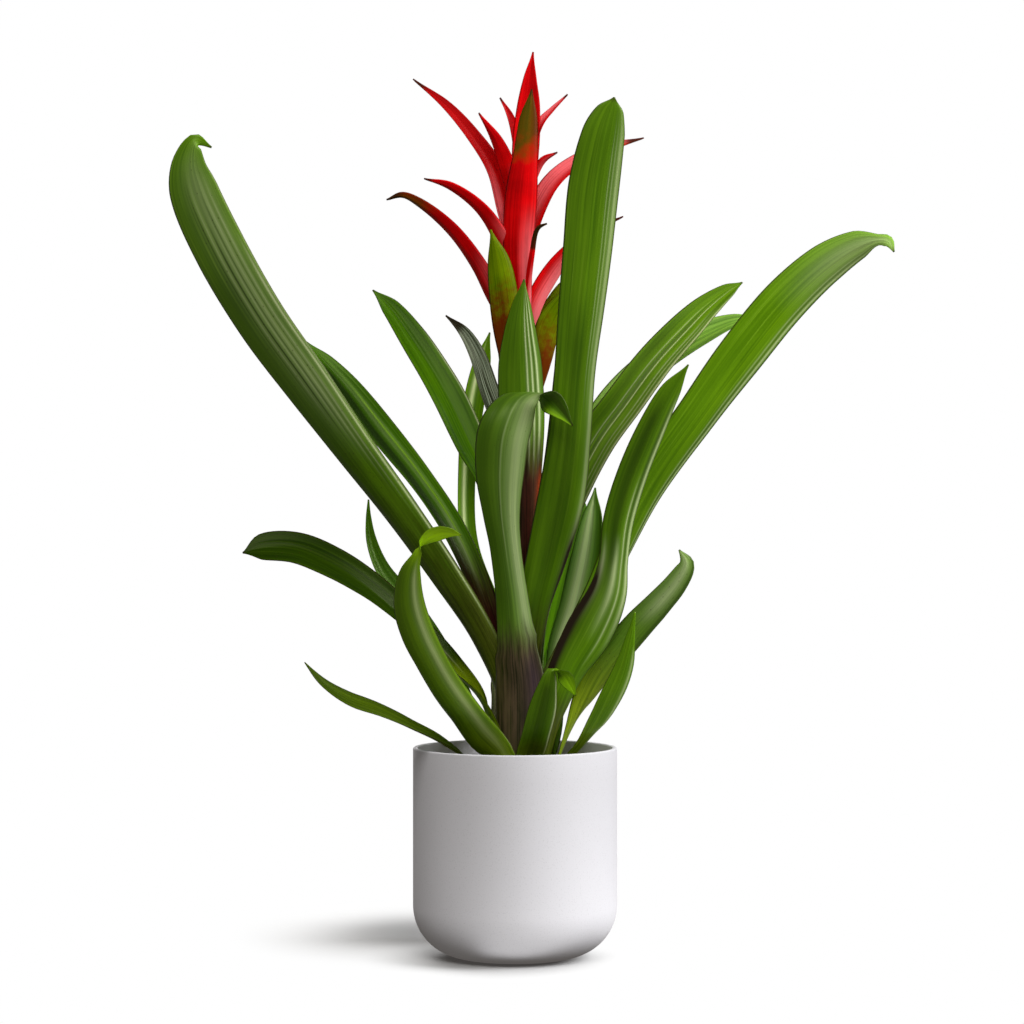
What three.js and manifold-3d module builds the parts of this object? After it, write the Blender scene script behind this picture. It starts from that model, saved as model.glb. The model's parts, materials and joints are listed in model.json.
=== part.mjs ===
// A flowering guzmania in a round white pot.
// Strap leaves clasp the foot of a stalk in rings, green bracts climb it and a head of red bracts tops it.
// Millimetres, +Z up. The origin is the middle of the pot's underside, and -Y faces the viewer.
import * as THREE from 'three';
import Module from 'manifold-3d';

// driving dimensions of the pot and its soil
const potRadius = 67.5;
const potHeight = 138;
const potWall = 3.2;
const potFloor = 5;
const potCorner = 34;
const footRadius = 30;
const potSides = 36;
const soilRim = 118;
const soilDish = 112;
const dishRadius = 27;
const seatGap = 0.3;

// driving dimensions of the stalk that carries the plant
const plantX = 4;
const stalkFoot = 90;
const stalkThick = 7.8;
const stalkThin = 5;
const stalkTop = 392;
const pegRadius = 3;
const pegTop = 412;
const coreRadius = 6.5;
const coreTop = 520;

// driving dimensions of the leaves and bracts
const bladeThickness = 1.1;
const marginShare = 0.6;
const tipWidth = 1.2;
const ringStart = 8.9;
const ringStep = 1.5;
const widestClasp = 165;
const leafStep = 30;
const tipCrowding = 1.3;
const bractThickness = 1.3;
const bractStep = 22;

// Each leaf, in mm and degrees.
// az: where its sheath clasps the stalk (0 right, 90 back, 180 left, 270 towards the viewer).
// ring: its place in the nest of sheaths. rise: height of the sheath. lean: how far the sheath opens.
// hold: width of the sheath along its arc.
// rows: the blade from sheath to tip, each as the middle's x, y and z, the width,
// the azimuth and pitch that the underside faces, and the angle that the section cups through.
const leaves = {
  leaf_front_inner: {
    az: 280, ring: 0, rise: 66, lean: 1, hold: 20, rows: [
      [4, -13, 250, 28, 272, 0, 120], [4, -14, 320, 33, 270, 0, 120], [4, -16, 355, 35, 268, 0, 110],
      [3, -17, 389, 32, 268, 0, 90], [3, -19, 412, 23, 268, 0, 80], [4, -20, 430, 13, 268, 0, 70],
      [6, -21, 446, tipWidth, 268, 0, 40]],
  },
  leaf_back_left: {
    az: 98, ring: 3, rise: 60, lean: 2, hold: 20, rows: [
      [-16, 24, 225, 18, 98, 0, 80], [-31, 39, 275, 13, 85, 0, 70], [-32, 43, 325, 13, 80, 0, 60],
      [-28, 44, 365, 15, 80, 0, 50], [-22, 42, 395, 12, 80, 0, 40], [-17, 40, 415, tipWidth, 80, 0, 30]],
  },
  leaf_right_tall: {
    az: 302, ring: 1, rise: 66, lean: 1, hold: 25, rows: [
      [14, -16, 225, 28, 300, 0, 100], [23, -20, 266, 31, 288, 0, 75], [31, -27, 303, 33, 282, 0, 60],
      [36, -36, 343, 29, 280, 0, 50], [39, -44, 383, 28, 280, 0, 45], [43, -52, 423, 31, 280, 0, 40],
      [47, -60, 462, 33, 280, 0, 40], [51, -68, 503, 34, 280, 0, 40], [57, -75, 536, 28, 280, 0, 35],
      [61, -77, 550, 17, 280, 0, 30], [63, -78, 557, tipWidth, 280, 0, 20]],
  },
  leaf_left_inner: {
    az: 150, ring: 0, rise: 66, lean: 1, hold: 18, rows: [
      [-6, 9, 250, 20, 148, 0, 110], [-19, 11, 315, 22, 120, 0, 80], [-30, 16, 338, 24, 110, -5, 70],
      [-43, 25, 366, 25, 106, -8, 70], [-55, 34, 388, 23, 104, -8, 60], [-70, 44, 412, 20, 102, -8, 50],
      [-85, 53, 433, 13, 100, -8, 40], [-97, 58, 445, tipWidth, 100, -8, 30]],
  },
  leaf_right_back: {
    az: 50, ring: 2, rise: 66, lean: 1, hold: 21, rows: [
      [17, 16, 238, 22, 62, 0, 100], [34, 24, 296, 25, 76, -5, 80], [54, 33, 339, 29, 80, -10, 75],
      [74, 42, 367, 29, 82, -12, 75], [95, 53, 395, 27, 82, -14, 70], [118, 64, 420, 24, 82, -16, 65],
      [132, 71, 434, 19, 82, -18, 60], [147, 77, 446, 11, 82, -18, 50],
      [157, 80, 452, tipWidth, 82, -18, 30]],
  },
  leaf_left_tall: {
    az: 214, ring: 3, rise: 60, lean: 2, hold: 27, rows: [
      [-23, -9, 209, 26, 228, 0, 110], [-48, -19, 251, 27, 238, -5, 90], [-77, -31, 294, 29, 240, -8, 70],
      [-106, -44, 334, 32, 240, -8, 55], [-136, -57, 376, 37, 241, -8, 45], [-164, -70, 416, 39, 242, -6, 40],
      [-188, -83, 458, 40, 244, -4, 40], [-204, -93, 496, 36, 246, -2, 40], [-206, -96, 514, 25, 246, 0, 40],
      [-201, -97, 527, 10, 246, 0, 30], [-191, -94, 523, tipWidth, 246, 0, 20]],
  },
  leaf_left_back: {
    az: 155, ring: 2, rise: 62, lean: 2, hold: 20, rows: [
      [-18, 8, 222, 21, 132, 0, 110], [-41, 21, 279, 20, 112, -8, 95], [-66, 36, 317, 20, 108, -12, 85],
      [-94, 50, 352, 22, 106, -14, 75], [-114, 61, 378, 18, 106, -14, 65], [-131, 69, 397, 12, 106, -14, 50],
      [-144, 75, 411, tipWidth, 106, -14, 30]],
  },
  leaf_right_long: {
    az: 350, ring: 3, rise: 60, lean: 2, hold: 24, rows: [
      [36, -5, 203, 22, 326, 0, 90], [58, -3, 243, 25, 314, -5, 75], [88, -4, 308, 31, 302, -10, 60],
      [123, -7, 359, 33, 296, -12, 50], [149, -11, 395, 36, 294, -12, 40], [178, -17, 431, 35, 292, -12, 40],
      [205, -23, 456, 30, 292, -12, 40], [225, -27, 468, 20, 292, -10, 40], [236, -29, 471, 8, 290, -5, 40],
      [243, -30, 470, 8, 280, 0, 30], [247, -30, 463, tipWidth, 280, 0, 20]],
  },
  leaf_front_arched: {
    az: 268, ring: 4, rise: 66, lean: 4, hold: 39, rows: [
      [1, -27, 205, 32, 268, 0, 130], [-2, -35, 237, 24, 268, 0, 100], [-6, -42, 268, 22, 268, 0, 80],
      [-9, -49, 292, 26, 268, 0, 65], [-10, -56, 320, 33, 266, 0, 55], [-7, -61, 346, 35, 266, 0, 50],
      [3, -58, 366, 28, 262, 50, 40], [14, -53, 370, 20, 230, 80, 40], [22, -53, 366, 19, 110, 50, 40],
      [29, -54, 359, 12, 100, 30, 30], [37, -55, 349, tipWidth, 100, 30, 30]],
  },
  leaf_back_tall: {
    az: 85, ring: 4, rise: 62, lean: 3, hold: 26, rows: [
      [10, 30, 215, 24, 84, 0, 80], [23, 51, 270, 26, 84, 0, 60], [34, 72, 330, 28, 84, -5, 55],
      [41, 94, 390, 28, 84, -8, 50], [44, 112, 440, 21, 84, -8, 45], [46, 124, 470, 11, 84, -8, 40],
      [47, 129, 484, tipWidth, 84, -8, 30]],
  },
  leaf_right_front: {
    az: 318, ring: 5, rise: 24, lean: 12, hold: 30, rows: [
      [26, -23, 163, 28, 308, 0, 75], [36, -28, 190, 30, 300, 0, 65], [50, -31, 215, 36, 296, 0, 60],
      [61, -36, 240, 29, 292, 0, 55], [65, -40, 262, 22, 292, 0, 60], [68, -44, 288, 23, 294, 0, 60],
      [76, -49, 316, 23, 296, 0, 50], [88, -55, 346, 21, 296, 0, 45], [100, -60, 371, 15, 296, 0, 40],
      [111, -63, 388, tipWidth, 296, 0, 30]],
  },
  leaf_right_far: {
    az: 80, ring: 5, rise: 50, lean: 6, hold: 23, rows: [
      [14, 44, 220, 20, 70, -10, 70], [33, 68, 300, 22, 66, -30, 60], [64, 81, 364, 24, 72, -35, 60],
      [97, 91, 396, 26, 78, -35, 55], [130, 98, 417, 21, 80, -35, 50], [154, 102, 427, 12, 80, -35, 40],
      [172, 104, 429, tipWidth, 80, -35, 30]],
  },
  leaf_left_mid: {
    az: 200, ring: 5, rise: 36, lean: 7, hold: 24, rows: [
      [-23, -12, 170, 24, 176, -30, 80], [-40, -17, 191, 25, 150, -45, 70], [-58, -21, 210, 25, 130, -48, 70],
      [-77, -26, 228, 26, 118, -48, 70], [-97, -29, 245, 27, 112, -44, 60],
      [-119, -31, 259, 28, 110, -40, 50], [-143, -33, 269, 27, 108, -38, 45],
      [-165, -35, 270, 21, 106, -36, 40], [-177, -36, 267, tipWidth, 106, -34, 30]],
  },
  leaf_right_short: {
    az: 15, ring: 6, rise: 36, lean: 14, hold: 20, rows: [
      [30, 15, 196, 20, 48, 0, 70], [41, 19, 232, 22, 68, 0, 60], [48, 23, 262, 22, 76, 0, 55],
      [52, 27, 290, 14, 80, 0, 50], [54, 31, 310, tipWidth, 80, 0, 40]],
  },
  leaf_left_front: {
    az: 235, ring: 6, rise: 20, lean: 20, hold: 24, rows: [
      [-23, -28, 147, 28, 240, 0, 70], [-34, -37, 163, 25, 244, 0, 60], [-46, -46, 181, 24, 248, 0, 55],
      [-55, -55, 198, 23, 252, 0, 50], [-63, -63, 216, 23, 256, 0, 50], [-68, -72, 236, 21, 258, 0, 50],
      [-67, -80, 254, 15, 258, 0, 50], [-62, -85, 267, 6, 262, 20, 50], [-58, -87, 275, 9, 130, 30, 40],
      [-51, -88, 280, 13, 100, 40, 40], [-43, -87, 281, 10, 96, 40, 40],
      [-34, -84, 279, tipWidth, 96, 40, 30]],
  },
  leaf_back_arched: {
    az: 120, ring: 6, rise: 30, lean: 14, hold: 24, rows: [
      [-7, 42, 168, 24, 110, -10, 70], [-5, 76, 212, 24, 100, -30, 60], [-1, 118, 248, 24, 94, -50, 50],
      [2, 160, 262, 22, 92, -70, 45], [3, 190, 254, 14, 92, -85, 40],
      [4, 206, 240, tipWidth, 92, -89, 30]],
  },
  leaf_right_low: {
    az: 358, ring: 7, rise: 22, lean: 18, hold: 19, rows: [
      [39, -2, 154, 20, 345, 0, 70], [47, -4, 170, 23, 318, -10, 60], [56, -8, 186, 25, 300, -15, 55],
      [68, -12, 202, 24, 292, -15, 50], [81, -16, 218, 23, 290, -15, 50], [94, -20, 232, 21, 290, -15, 50],
      [106, -24, 247, 17, 288, -15, 50], [112, -27, 260, 11, 284, -10, 50],
      [107, -28, 269, tipWidth, 280, 0, 40]],
  },
  leaf_front_short: {
    az: 282, ring: 7, rise: 20, lean: 20, hold: 19, rows: [
      [13, -37, 146, 19, 276, 0, 50], [18, -43, 167, 18, 274, 0, 40], [21, -47, 182, 12, 272, 10, 40],
      [24, -49, 192, 7, 266, 50, 40], [30, -50, 190, 11, 100, 60, 40], [35, -50, 183, 9, 95, 30, 40],
      [39, -50, 175, tipWidth, 90, 20, 30]],
  },
  leaf_left_small: {
    az: 172, ring: 7, rise: 22, lean: 16, hold: 14, rows: [
      [-28, 5, 160, 14, 168, 0, 70], [-50, 10, 202, 15, 140, 0, 65], [-74, 14, 236, 14, 120, 0, 60],
      [-89, 17, 256, 11, 110, 0, 55], [-96, 19, 274, 8, 104, 0, 50], [-98, 20, 290, 4, 100, 0, 40],
      [-98, 20, 302, tipWidth, 100, 0, 30]],
  },
  leaf_back_right: {
    az: 80, ring: 7, rise: 22, lean: 18, hold: 24, rows: [
      [12, 46, 166, 26, 78, -10, 65], [24, 84, 208, 27, 74, -30, 55], [34, 122, 250, 27, 72, -35, 50],
      [42, 156, 284, 20, 72, -45, 45], [47, 176, 298, 10, 72, -55, 40],
      [50, 188, 301, tipWidth, 72, -60, 30]],
  },
  leaf_right_lowest: {
    az: 326, ring: 8, rise: 12, lean: 36, hold: 12, rows: [
      [44, -28, 142, 13, 322, 0, 60], [54, -37, 157, 15, 300, 0, 60], [63, -45, 175, 16, 286, 0, 55],
      [70, -50, 193, 13, 282, 0, 50], [74, -55, 212, 7, 280, 0, 40], [77, -58, 230, tipWidth, 280, 0, 30]],
  },
  leaf_left_low: {
    az: 210, ring: 8, rise: 12, lean: 40, hold: 14, rows: [
      [-46, -29, 142, 19, 165, -60, 60], [-67, -41, 154, 20, 155, -60, 55], [-88, -52, 165, 20, 145, -56, 50],
      [-107, -61, 173, 17, 130, -52, 45], [-122, -69, 184, 9, 120, -50, 40],
      [-134, -75, 198, tipWidth, 120, -50, 30]],
  },
  leaf_back_low: {
    az: 100, ring: 8, rise: 14, lean: 32, hold: 20, rows: [
      [-4, 46, 150, 22, 98, -30, 60], [-5, 72, 166, 24, 96, -45, 55], [-5, 102, 172, 24, 94, -70, 50],
      [-5, 132, 158, 20, 92, -88, 45], [-4, 152, 136, 12, 272, -60, 40],
      [-4, 164, 114, tipWidth, 272, -45, 30]],
  },
};

// Each bract: rows from its root in the stalk or core to its tip, as x, y, z and width in mm,
// then azimuth and pitch of its underside and how far it cups, in degrees.
const greenBracts = [
  { face: [270, 0], cup: 70, rows: [
    [4, -2, 364, 13], [-2, -10, 392, 16], [-5, -13, 414, 20], [-8, -15, 440, 20], [-11, -16, 460, 15],
    [-16, -16, 479, tipWidth]] },
  { face: [285, -10], cup: 60, rows: [
    [5, 0, 350, 12], [17, -7, 392, 16], [23, -8, 417, 18], [34, -9, 435, 12], [45, -9, 447, tipWidth]] },
  { face: [60, 0], cup: 60, rows: [
    [5, 1, 350, 12], [12, 9, 392, 15], [20, 13, 420, 14], [30, 16, 440, 10], [42, 18, 458, tipWidth]] },
  { face: [104, -5], cup: 60, rows: [
    [3, 0, 318, 14], [-9, 4, 352, 15], [-18, 6, 376, 14], [-25, 6, 397, 12], [-34, 5, 413, 8],
    [-46, 4, 424, tipWidth]] },
  { face: [110, 0], cup: 90, rows: [
    [4, 1, 335, 14], [0, 10, 368, 17], [-5, 14, 396, 16], [-9, 16, 418, 10], [-13, 17, 434, tipWidth]] },
  { face: [345, 0], cup: 120, rows: [
    [5, 0, 238, 14], [12, -3, 270, 17], [13, -4, 300, 14], [14, -4, 330, tipWidth]] },
  { face: [80, 0], cup: 120, rows: [
    [4, 1, 275, 14], [5, 9, 305, 16], [6, 10, 335, 13], [7, 12, 362, tipWidth]] },
  { face: [190, 0], cup: 120, rows: [
    [4, 0, 210, 14], [-4, -1, 240, 16], [-5, -1, 268, 13], [-6, -1, 292, tipWidth]] },
];

const redBracts = [
  // top spike and the broad front bract
  { face: [90, 0], cup: 60, rows: [
    [5, 2, 480, 14], [7, 4, 535, 19], [9, 5, 563, 16], [10, 5, 582, 9], [12, 5, 599, tipWidth]] },
  { face: [270, 0], cup: 70, rows: [
    [4, -3, 425, 15], [2, -11, 465, 21], [4, -13, 500, 23], [7, -13, 530, 17], [9, -12, 554, 12],
    [11, -11, 572, tipWidth]] },
  // bracts that curve away to the left
  { face: [120, -10], cup: 70, rows: [
    [3, 2, 455, 16], [-6, 8, 492, 17], [-14, 9, 521, 15], [-28, 10, 543, 12], [-46, 11, 564, 8],
    [-68, 12, 582, tipWidth]] },
  { face: [250, -10], cup: 70, rows: [
    [4, -1, 488, 12], [-4, -5, 517, 13], [-12, -6, 538, 9], [-24, -6, 557, tipWidth]] },
  { face: [100, 0], cup: 60, rows: [
    [5, 1, 510, 9], [2, 4, 538, 8], [-3, 6, 556, 5], [-10, 8, 569, tipWidth]] },
  { face: [240, -30], cup: 70, rows: [
    [3, -2, 445, 15], [-12, -8, 477, 14], [-24, -9, 494, 11], [-43, -10, 508, 7],
    [-60, -11, 513, tipWidth]] },
  { face: [230, -30], cup: 70, rows: [
    [3, 0, 404, 15], [-14, -4, 434, 18], [-26, -5, 457, 16], [-43, -4, 480, 13], [-63, -3, 497, 9],
    [-75, -2, 503, 5], [-85, -2, 500, tipWidth]] },
  // bracts that curve away to the right
  { face: [60, 0], cup: 60, rows: [
    [6, 1, 515, 9], [16, 4, 550, 7], [25, 5, 561, 4], [35, 6, 571, tipWidth]] },
  { face: [300, -20], cup: 60, rows: [
    [5, -1, 495, 8], [18, -5, 525, 6], [28, -6, 531, tipWidth]] },
  { face: [60, -20], cup: 70, rows: [
    [5, 1, 460, 16], [14, 6, 491, 17], [25, 9, 512, 16], [41, 11, 526, 13], [62, 13, 536, 9],
    [86, 14, 543, tipWidth]] },
  { face: [300, -30], cup: 70, rows: [
    [5, 0, 402, 15], [14, 2, 431, 17], [23, 4, 448, 17], [34, 5, 463, 14], [52, 7, 480, 8],
    [72, 8, 490, tipWidth]] },
  { face: [270, 0], cup: 60, rows: [
    [7, -4, 432, 5], [11, -11, 462, 4], [15, -15, 480, 3], [21, -16, 483, tipWidth]] },
  // bracts on the far side
  { face: [110, 0], cup: 70, rows: [
    [4, 2, 470, 12], [-4, 16, 500, 13], [-12, 30, 520, 9], [-22, 44, 532, tipWidth]] },
  { face: [60, 0], cup: 70, rows: [
    [5, 2, 445, 12], [8, 17, 480, 13], [11, 32, 505, 9], [13, 48, 520, tipWidth]] },
  { face: [90, 0], cup: 70, rows: [
    [5, 2, 485, 12], [6, 17, 515, 13], [7, 33, 532, 9], [8, 50, 543, tipWidth]] },
  { face: [110, -10], cup: 70, rows: [
    [4, 2, 418, 13], [-3, 20, 445, 14], [-9, 38, 465, 11], [-15, 58, 480, tipWidth]] },
  { face: [70, -10], cup: 70, rows: [
    [5, 2, 410, 13], [6, 21, 440, 14], [7, 40, 458, 11], [8, 60, 470, tipWidth]] },
];

// Colours, roughness and metalness of every material.
const looks = {
  pot: [0xdcdcde, 0.6],
  soil: [0x35261c, 0.95],
  stalk: [0x5c7a2a, 0.5],
  head: [0xd01a1e, 0.4],
  topSide: [0x4c7f14, 0.35],
  underSide: [0x5d8f35, 0.45],
  pale: [0x8fb457, 0.45],
};

// The leaves that show their underside to the viewer, and the ones that the light shines through.
const undersideLeaves = [
  'leaf_front_inner', 'leaf_front_arched', 'leaf_front_short', 'leaf_left_tall', 'leaf_left_front',
  'leaf_right_tall', 'leaf_right_front', 'leaf_right_low', 'leaf_right_lowest'];
const paleLeaves = ['leaf_right_far', 'leaf_right_short'];

// A smooth value at place t (0 to 1) along a list of evenly spaced ones.
function along(values, t) {
  const at = Math.min(Math.max(t, 0), 1) * (values.length - 1);
  const i = Math.min(Math.floor(at), values.length - 2);
  const f = at - i;
  const before = values[Math.max(i - 1, 0)];
  const after = values[Math.min(i + 2, values.length - 1)];
  const m0 = (values[i + 1] - before) / 2;
  const m1 = (after - values[i]) / 2;
  const step = values[i + 1] - values[i];
  return values[i] + m0 * f + (3 * step - 2 * m0 - m1) * f * f + (m0 + m1 - 2 * step) * f * f * f;
}

// The direction at an azimuth and pitch given in degrees.
function heading(azimuth, pitch) {
  const a = THREE.MathUtils.degToRad(azimuth);
  const p = THREE.MathUtils.degToRad(pitch);
  return new THREE.Vector3(Math.cos(a) * Math.cos(p), Math.sin(a) * Math.cos(p), Math.sin(p));
}

// A closed blade: two faces joined along both margins, at the root and at the tip.
function sweepBlade(rows, sections, strips, thickness) {
  const points = rows.map((row) => new THREE.Vector3(row[0], row[1], row[2]));
  const curve = new THREE.CatmullRomCurve3(points, false, 'centripetal');
  const widths = rows.map((row) => row[3]);
  const facings = rows.map((row) => heading(row[4], row[5]));
  const cups = rows.map((row) => row[6]);
  const vertices = [];
  for (let k = 0; k <= sections; k += 1) {
    const t = curve.getUtoTmapping(1 - (1 - k / sections) ** tipCrowding);
    const middle = curve.getPoint(t);
    const tangent = curve.getTangent(t);
    const outward = new THREE.Vector3(
      along(facings.map((v) => v.x), t),
      along(facings.map((v) => v.y), t),
      along(facings.map((v) => v.z), t),
    );
    outward.addScaledVector(tangent, -outward.dot(tangent)).normalize();
    const across = tangent.clone().cross(outward);
    const halfWidth = Math.max(along(widths, t), tipWidth) / 2;
    const bend = THREE.MathUtils.degToRad(Math.max(along(cups, t), 5)) / (2 * halfWidth);
    for (const side of [1, -1]) {
      for (let i = 0; i <= strips; i += 1) {
        const share = (2 * i) / strips - 1;
        const angle = share * halfWidth * bend;
        const depth = (thickness / 2) * (1 - (1 - marginShare) * share * share) * side;
        const spot = middle.clone();
        spot.addScaledVector(across, Math.sin(angle) / bend + Math.sin(angle) * depth);
        spot.addScaledVector(outward, (Math.cos(angle) - 1) / bend + Math.cos(angle) * depth);
        vertices.push(spot);
      }
    }
  }
  const at = (side, k, i) => k * 2 * (strips + 1) + side * (strips + 1) + i;
  const faces = [];
  const quad = (a, b, c, d) => faces.push([a, b, c], [a, c, d]);
  for (let k = 0; k < sections; k += 1) {
    for (let i = 0; i < strips; i += 1) {
      quad(at(0, k, i), at(0, k, i + 1), at(0, k + 1, i + 1), at(0, k + 1, i));
      faces.push([at(1, k, i), at(1, k + 1, i + 1), at(1, k, i + 1)]);
      faces.push([at(1, k, i), at(1, k + 1, i), at(1, k + 1, i + 1)]);
    }
    quad(at(0, k, 0), at(0, k + 1, 0), at(1, k + 1, 0), at(1, k, 0));
    quad(at(0, k, strips), at(1, k, strips), at(1, k + 1, strips), at(0, k + 1, strips));
  }
  for (let i = 0; i < strips; i += 1) {
    quad(at(0, 0, i), at(1, 0, i), at(1, 0, i + 1), at(0, 0, i + 1));
    quad(at(0, sections, i), at(0, sections, i + 1), at(1, sections, i + 1), at(1, sections, i));
  }
  return { vertices, faces };
}

// Geometry with flat facets from a list of corner points and triangles.
function toGeometry({ vertices, faces }) {
  const flat = [];
  for (const face of faces) {
    for (const corner of face) {
      flat.push(vertices[corner].x, vertices[corner].y, vertices[corner].z);
    }
  }
  const geometry = new THREE.BufferGeometry();
  geometry.setAttribute('position', new THREE.Float32BufferAttribute(flat, 3));
  geometry.computeVertexNormals();
  return geometry;
}

// The rows of a whole leaf: its sheath, which opens like a cone about the stalk, and then its blade.
function leafRows(leaf) {
  const rows = [];
  const lean = THREE.MathUtils.degToRad(leaf.lean);
  const foot = soilDish + seatGap + (bladeThickness / 2) * Math.sin(lean);
  for (const share of [0, 0.5, 1]) {
    const radius = ringStart + leaf.ring * ringStep + leaf.rise * share * Math.tan(lean);
    const spot = heading(leaf.az, 0).multiplyScalar(radius);
    const cup = Math.min(THREE.MathUtils.radToDeg(leaf.hold / radius), widestClasp);
    rows.push([plantX + spot.x, spot.y, foot + leaf.rise * share, leaf.hold, leaf.az, 0, cup]);
  }
  return rows.concat(leaf.rows);
}

function pathLength(rows) {
  let total = 0;
  for (let i = 1; i < rows.length; i += 1) {
    const step = [0, 1, 2].map((axis) => rows[i][axis] - rows[i - 1][axis]);
    total += Math.hypot(...step);
  }
  return total;
}

function leafGeometry(leaf) {
  const rows = leafRows(leaf);
  const strips = leaf.hold > 19 ? 6 : 4;
  const sections = Math.max(10, Math.round(pathLength(rows) / leafStep) + 4);
  return toGeometry(sweepBlade(rows, sections, strips, bladeThickness));
}

// A turned solid about the vertical line at x. The profile, radius and height, starts and ends on that line.
function turned(profile, sides, x) {
  const points = profile.map(([radius, height]) => new THREE.Vector2(radius, height));
  const geometry = new THREE.LatheGeometry(points, sides);
  geometry.rotateX(Math.PI / 2);
  geometry.translate(x, 0, 0);
  return geometry;
}

// A quarter round of radius r about (x, z) from angle a to angle b in degrees.
function arcPoints(x, z, r, a, b, steps) {
  const points = [];
  for (let i = 0; i <= steps; i += 1) {
    const angle = THREE.MathUtils.degToRad(a + ((b - a) * i) / steps);
    points.push([x + r * Math.cos(angle), z + r * Math.sin(angle)]);
  }
  return points;
}

function potGeometry() {
  const inner = potRadius - potWall;
  const innerCorner = potCorner - potWall;
  const outside = arcPoints(potRadius - potCorner, potCorner, potCorner, -84, 0, 6);
  const inside = arcPoints(inner - innerCorner, potFloor + innerCorner, innerCorner, 0, -80, 4);
  const profile = [
    [0, 0],
    [footRadius, 0],
    ...outside,
    [potRadius, potHeight - 1],
    [potRadius - 1, potHeight],
    [inner + 1, potHeight],
    [inner, potHeight - 1],
    ...inside,
    [footRadius - 4, potFloor],
    [0, potFloor],
  ];
  return turned(profile, potSides, 0);
}

function soilGeometry() {
  const inner = potRadius - potWall - seatGap;
  const corner = potCorner - potWall - seatGap;
  const floor = potFloor + seatGap;
  const profile = [
    [0, floor],
    [footRadius - 4, floor],
    ...arcPoints(inner - corner, floor + corner, corner, -80, 0, 4),
    [inner, soilRim],
    [dishRadius + 14, soilRim - 1],
    [dishRadius, soilDish],
    [0, soilDish],
  ];
  return turned(profile, potSides, 0);
}

// Solids that can be joined and cut.
const wasm = await Module();
wasm.setup();

function toSolid(geometry) {
  const positions = geometry.getAttribute('position');
  const order = geometry.getIndex();
  const count = order ? order.count : positions.count;
  const seen = new Map();
  const vertProperties = [];
  const triangles = [];
  for (let i = 0; i < count; i += 3) {
    const corners = [0, 1, 2].map((c) => {
      const v = order ? order.getX(i + c) : i + c;
      const spot = [positions.getX(v), positions.getY(v), positions.getZ(v)];
      const key = spot.map((value) => Math.round(value * 1e4)).join(' ');
      if (!seen.has(key)) {
        seen.set(key, seen.size);
        vertProperties.push(...spot);
      }
      return seen.get(key);
    });
    if (corners[0] !== corners[1] && corners[1] !== corners[2] && corners[2] !== corners[0]) {
      triangles.push(...corners);
    }
  }
  const mesh = new wasm.Mesh({
    numProp: 3,
    vertProperties: new Float32Array(vertProperties),
    triVerts: new Uint32Array(triangles),
  });
  return new wasm.Manifold(mesh);
}

function fromSolid(solid) {
  const mesh = solid.getMesh();
  const vertices = [];
  for (let i = 0; i < mesh.vertProperties.length; i += mesh.numProp) {
    vertices.push(new THREE.Vector3(...mesh.vertProperties.slice(i, i + 3)));
  }
  const faces = [];
  for (let i = 0; i < mesh.triVerts.length; i += 3) {
    faces.push([mesh.triVerts[i], mesh.triVerts[i + 1], mesh.triVerts[i + 2]]);
  }
  return toGeometry({ vertices, faces });
}

function bractSolid(bract) {
  const rows = bract.rows.map((row) => [...row, ...bract.face, bract.cup]);
  const strips = Math.max(...bract.rows.map((row) => row[3])) > 12 ? 4 : 2;
  const sections = Math.max(4, Math.round(pathLength(rows) / bractStep));
  return toSolid(toGeometry(sweepBlade(rows, sections, strips, bractThickness)));
}

function joined(start, bracts) {
  let solid = start;
  for (const bract of bracts) {
    solid = solid.add(bractSolid(bract));
  }
  return solid;
}

// The stalk stands in the soil, narrows above the leaves and ends in a peg that holds the flower head.
function stalkGeometry() {
  const profile = [
    [0, stalkFoot],
    [stalkThick, stalkFoot],
    [stalkThick, 180],
    [stalkThin, 240],
    [stalkThin, stalkTop],
    [pegRadius, stalkTop],
    [pegRadius, pegTop],
    [0, pegTop],
  ];
  return fromSolid(joined(toSolid(turned(profile, 24, plantX)), greenBracts));
}

function headGeometry() {
  const profile = [
    [0, stalkTop + seatGap],
    [coreRadius, stalkTop + seatGap],
    [coreRadius, coreTop - 30],
    [1.5, coreTop],
    [0, coreTop],
  ];
  const socket = [
    [0, stalkTop - 5],
    [pegRadius + seatGap, stalkTop - 5],
    [pegRadius + seatGap, pegTop + seatGap],
    [0, pegTop + seatGap],
  ];
  const whole = joined(toSolid(turned(profile, 16, plantX)), redBracts);
  return fromSolid(whole.subtract(toSolid(turned(socket, 16, plantX))));
}

// The soil has a plain hole for the foot of the stalk.
function plantedSoil() {
  const hole = [
    [0, stalkFoot - seatGap],
    [stalkThick + seatGap, stalkFoot - seatGap],
    [stalkThick + seatGap, soilRim + 10],
    [0, soilRim + 10],
  ];
  return fromSolid(toSolid(soilGeometry()).subtract(toSolid(turned(hole, 24, plantX))));
}

function addPart(group, name, geometry, look) {
  const [color, roughness] = look;
  const material = new THREE.MeshStandardMaterial({ color, roughness, metalness: 0 });
  const mesh = new THREE.Mesh(geometry, material);
  mesh.name = name;
  group.add(mesh);
}

const plant = new THREE.Group();
plant.name = 'amaretto_guzmania';
addPart(plant, 'pot', potGeometry(), looks.pot);
addPart(plant, 'soil', plantedSoil(), looks.soil);
addPart(plant, 'stalk', stalkGeometry(), looks.stalk);
addPart(plant, 'flower_head', headGeometry(), looks.head);
for (const [name, leaf] of Object.entries(leaves)) {
  const shown = undersideLeaves.includes(name) ? looks.underSide : looks.topSide;
  addPart(plant, name, leafGeometry(leaf), paleLeaves.includes(name) ? looks.pale : shown);
}

export { toSolid };
export default plant;
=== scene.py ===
import json
import math

import bmesh
import bpy
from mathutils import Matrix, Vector, noise

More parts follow.
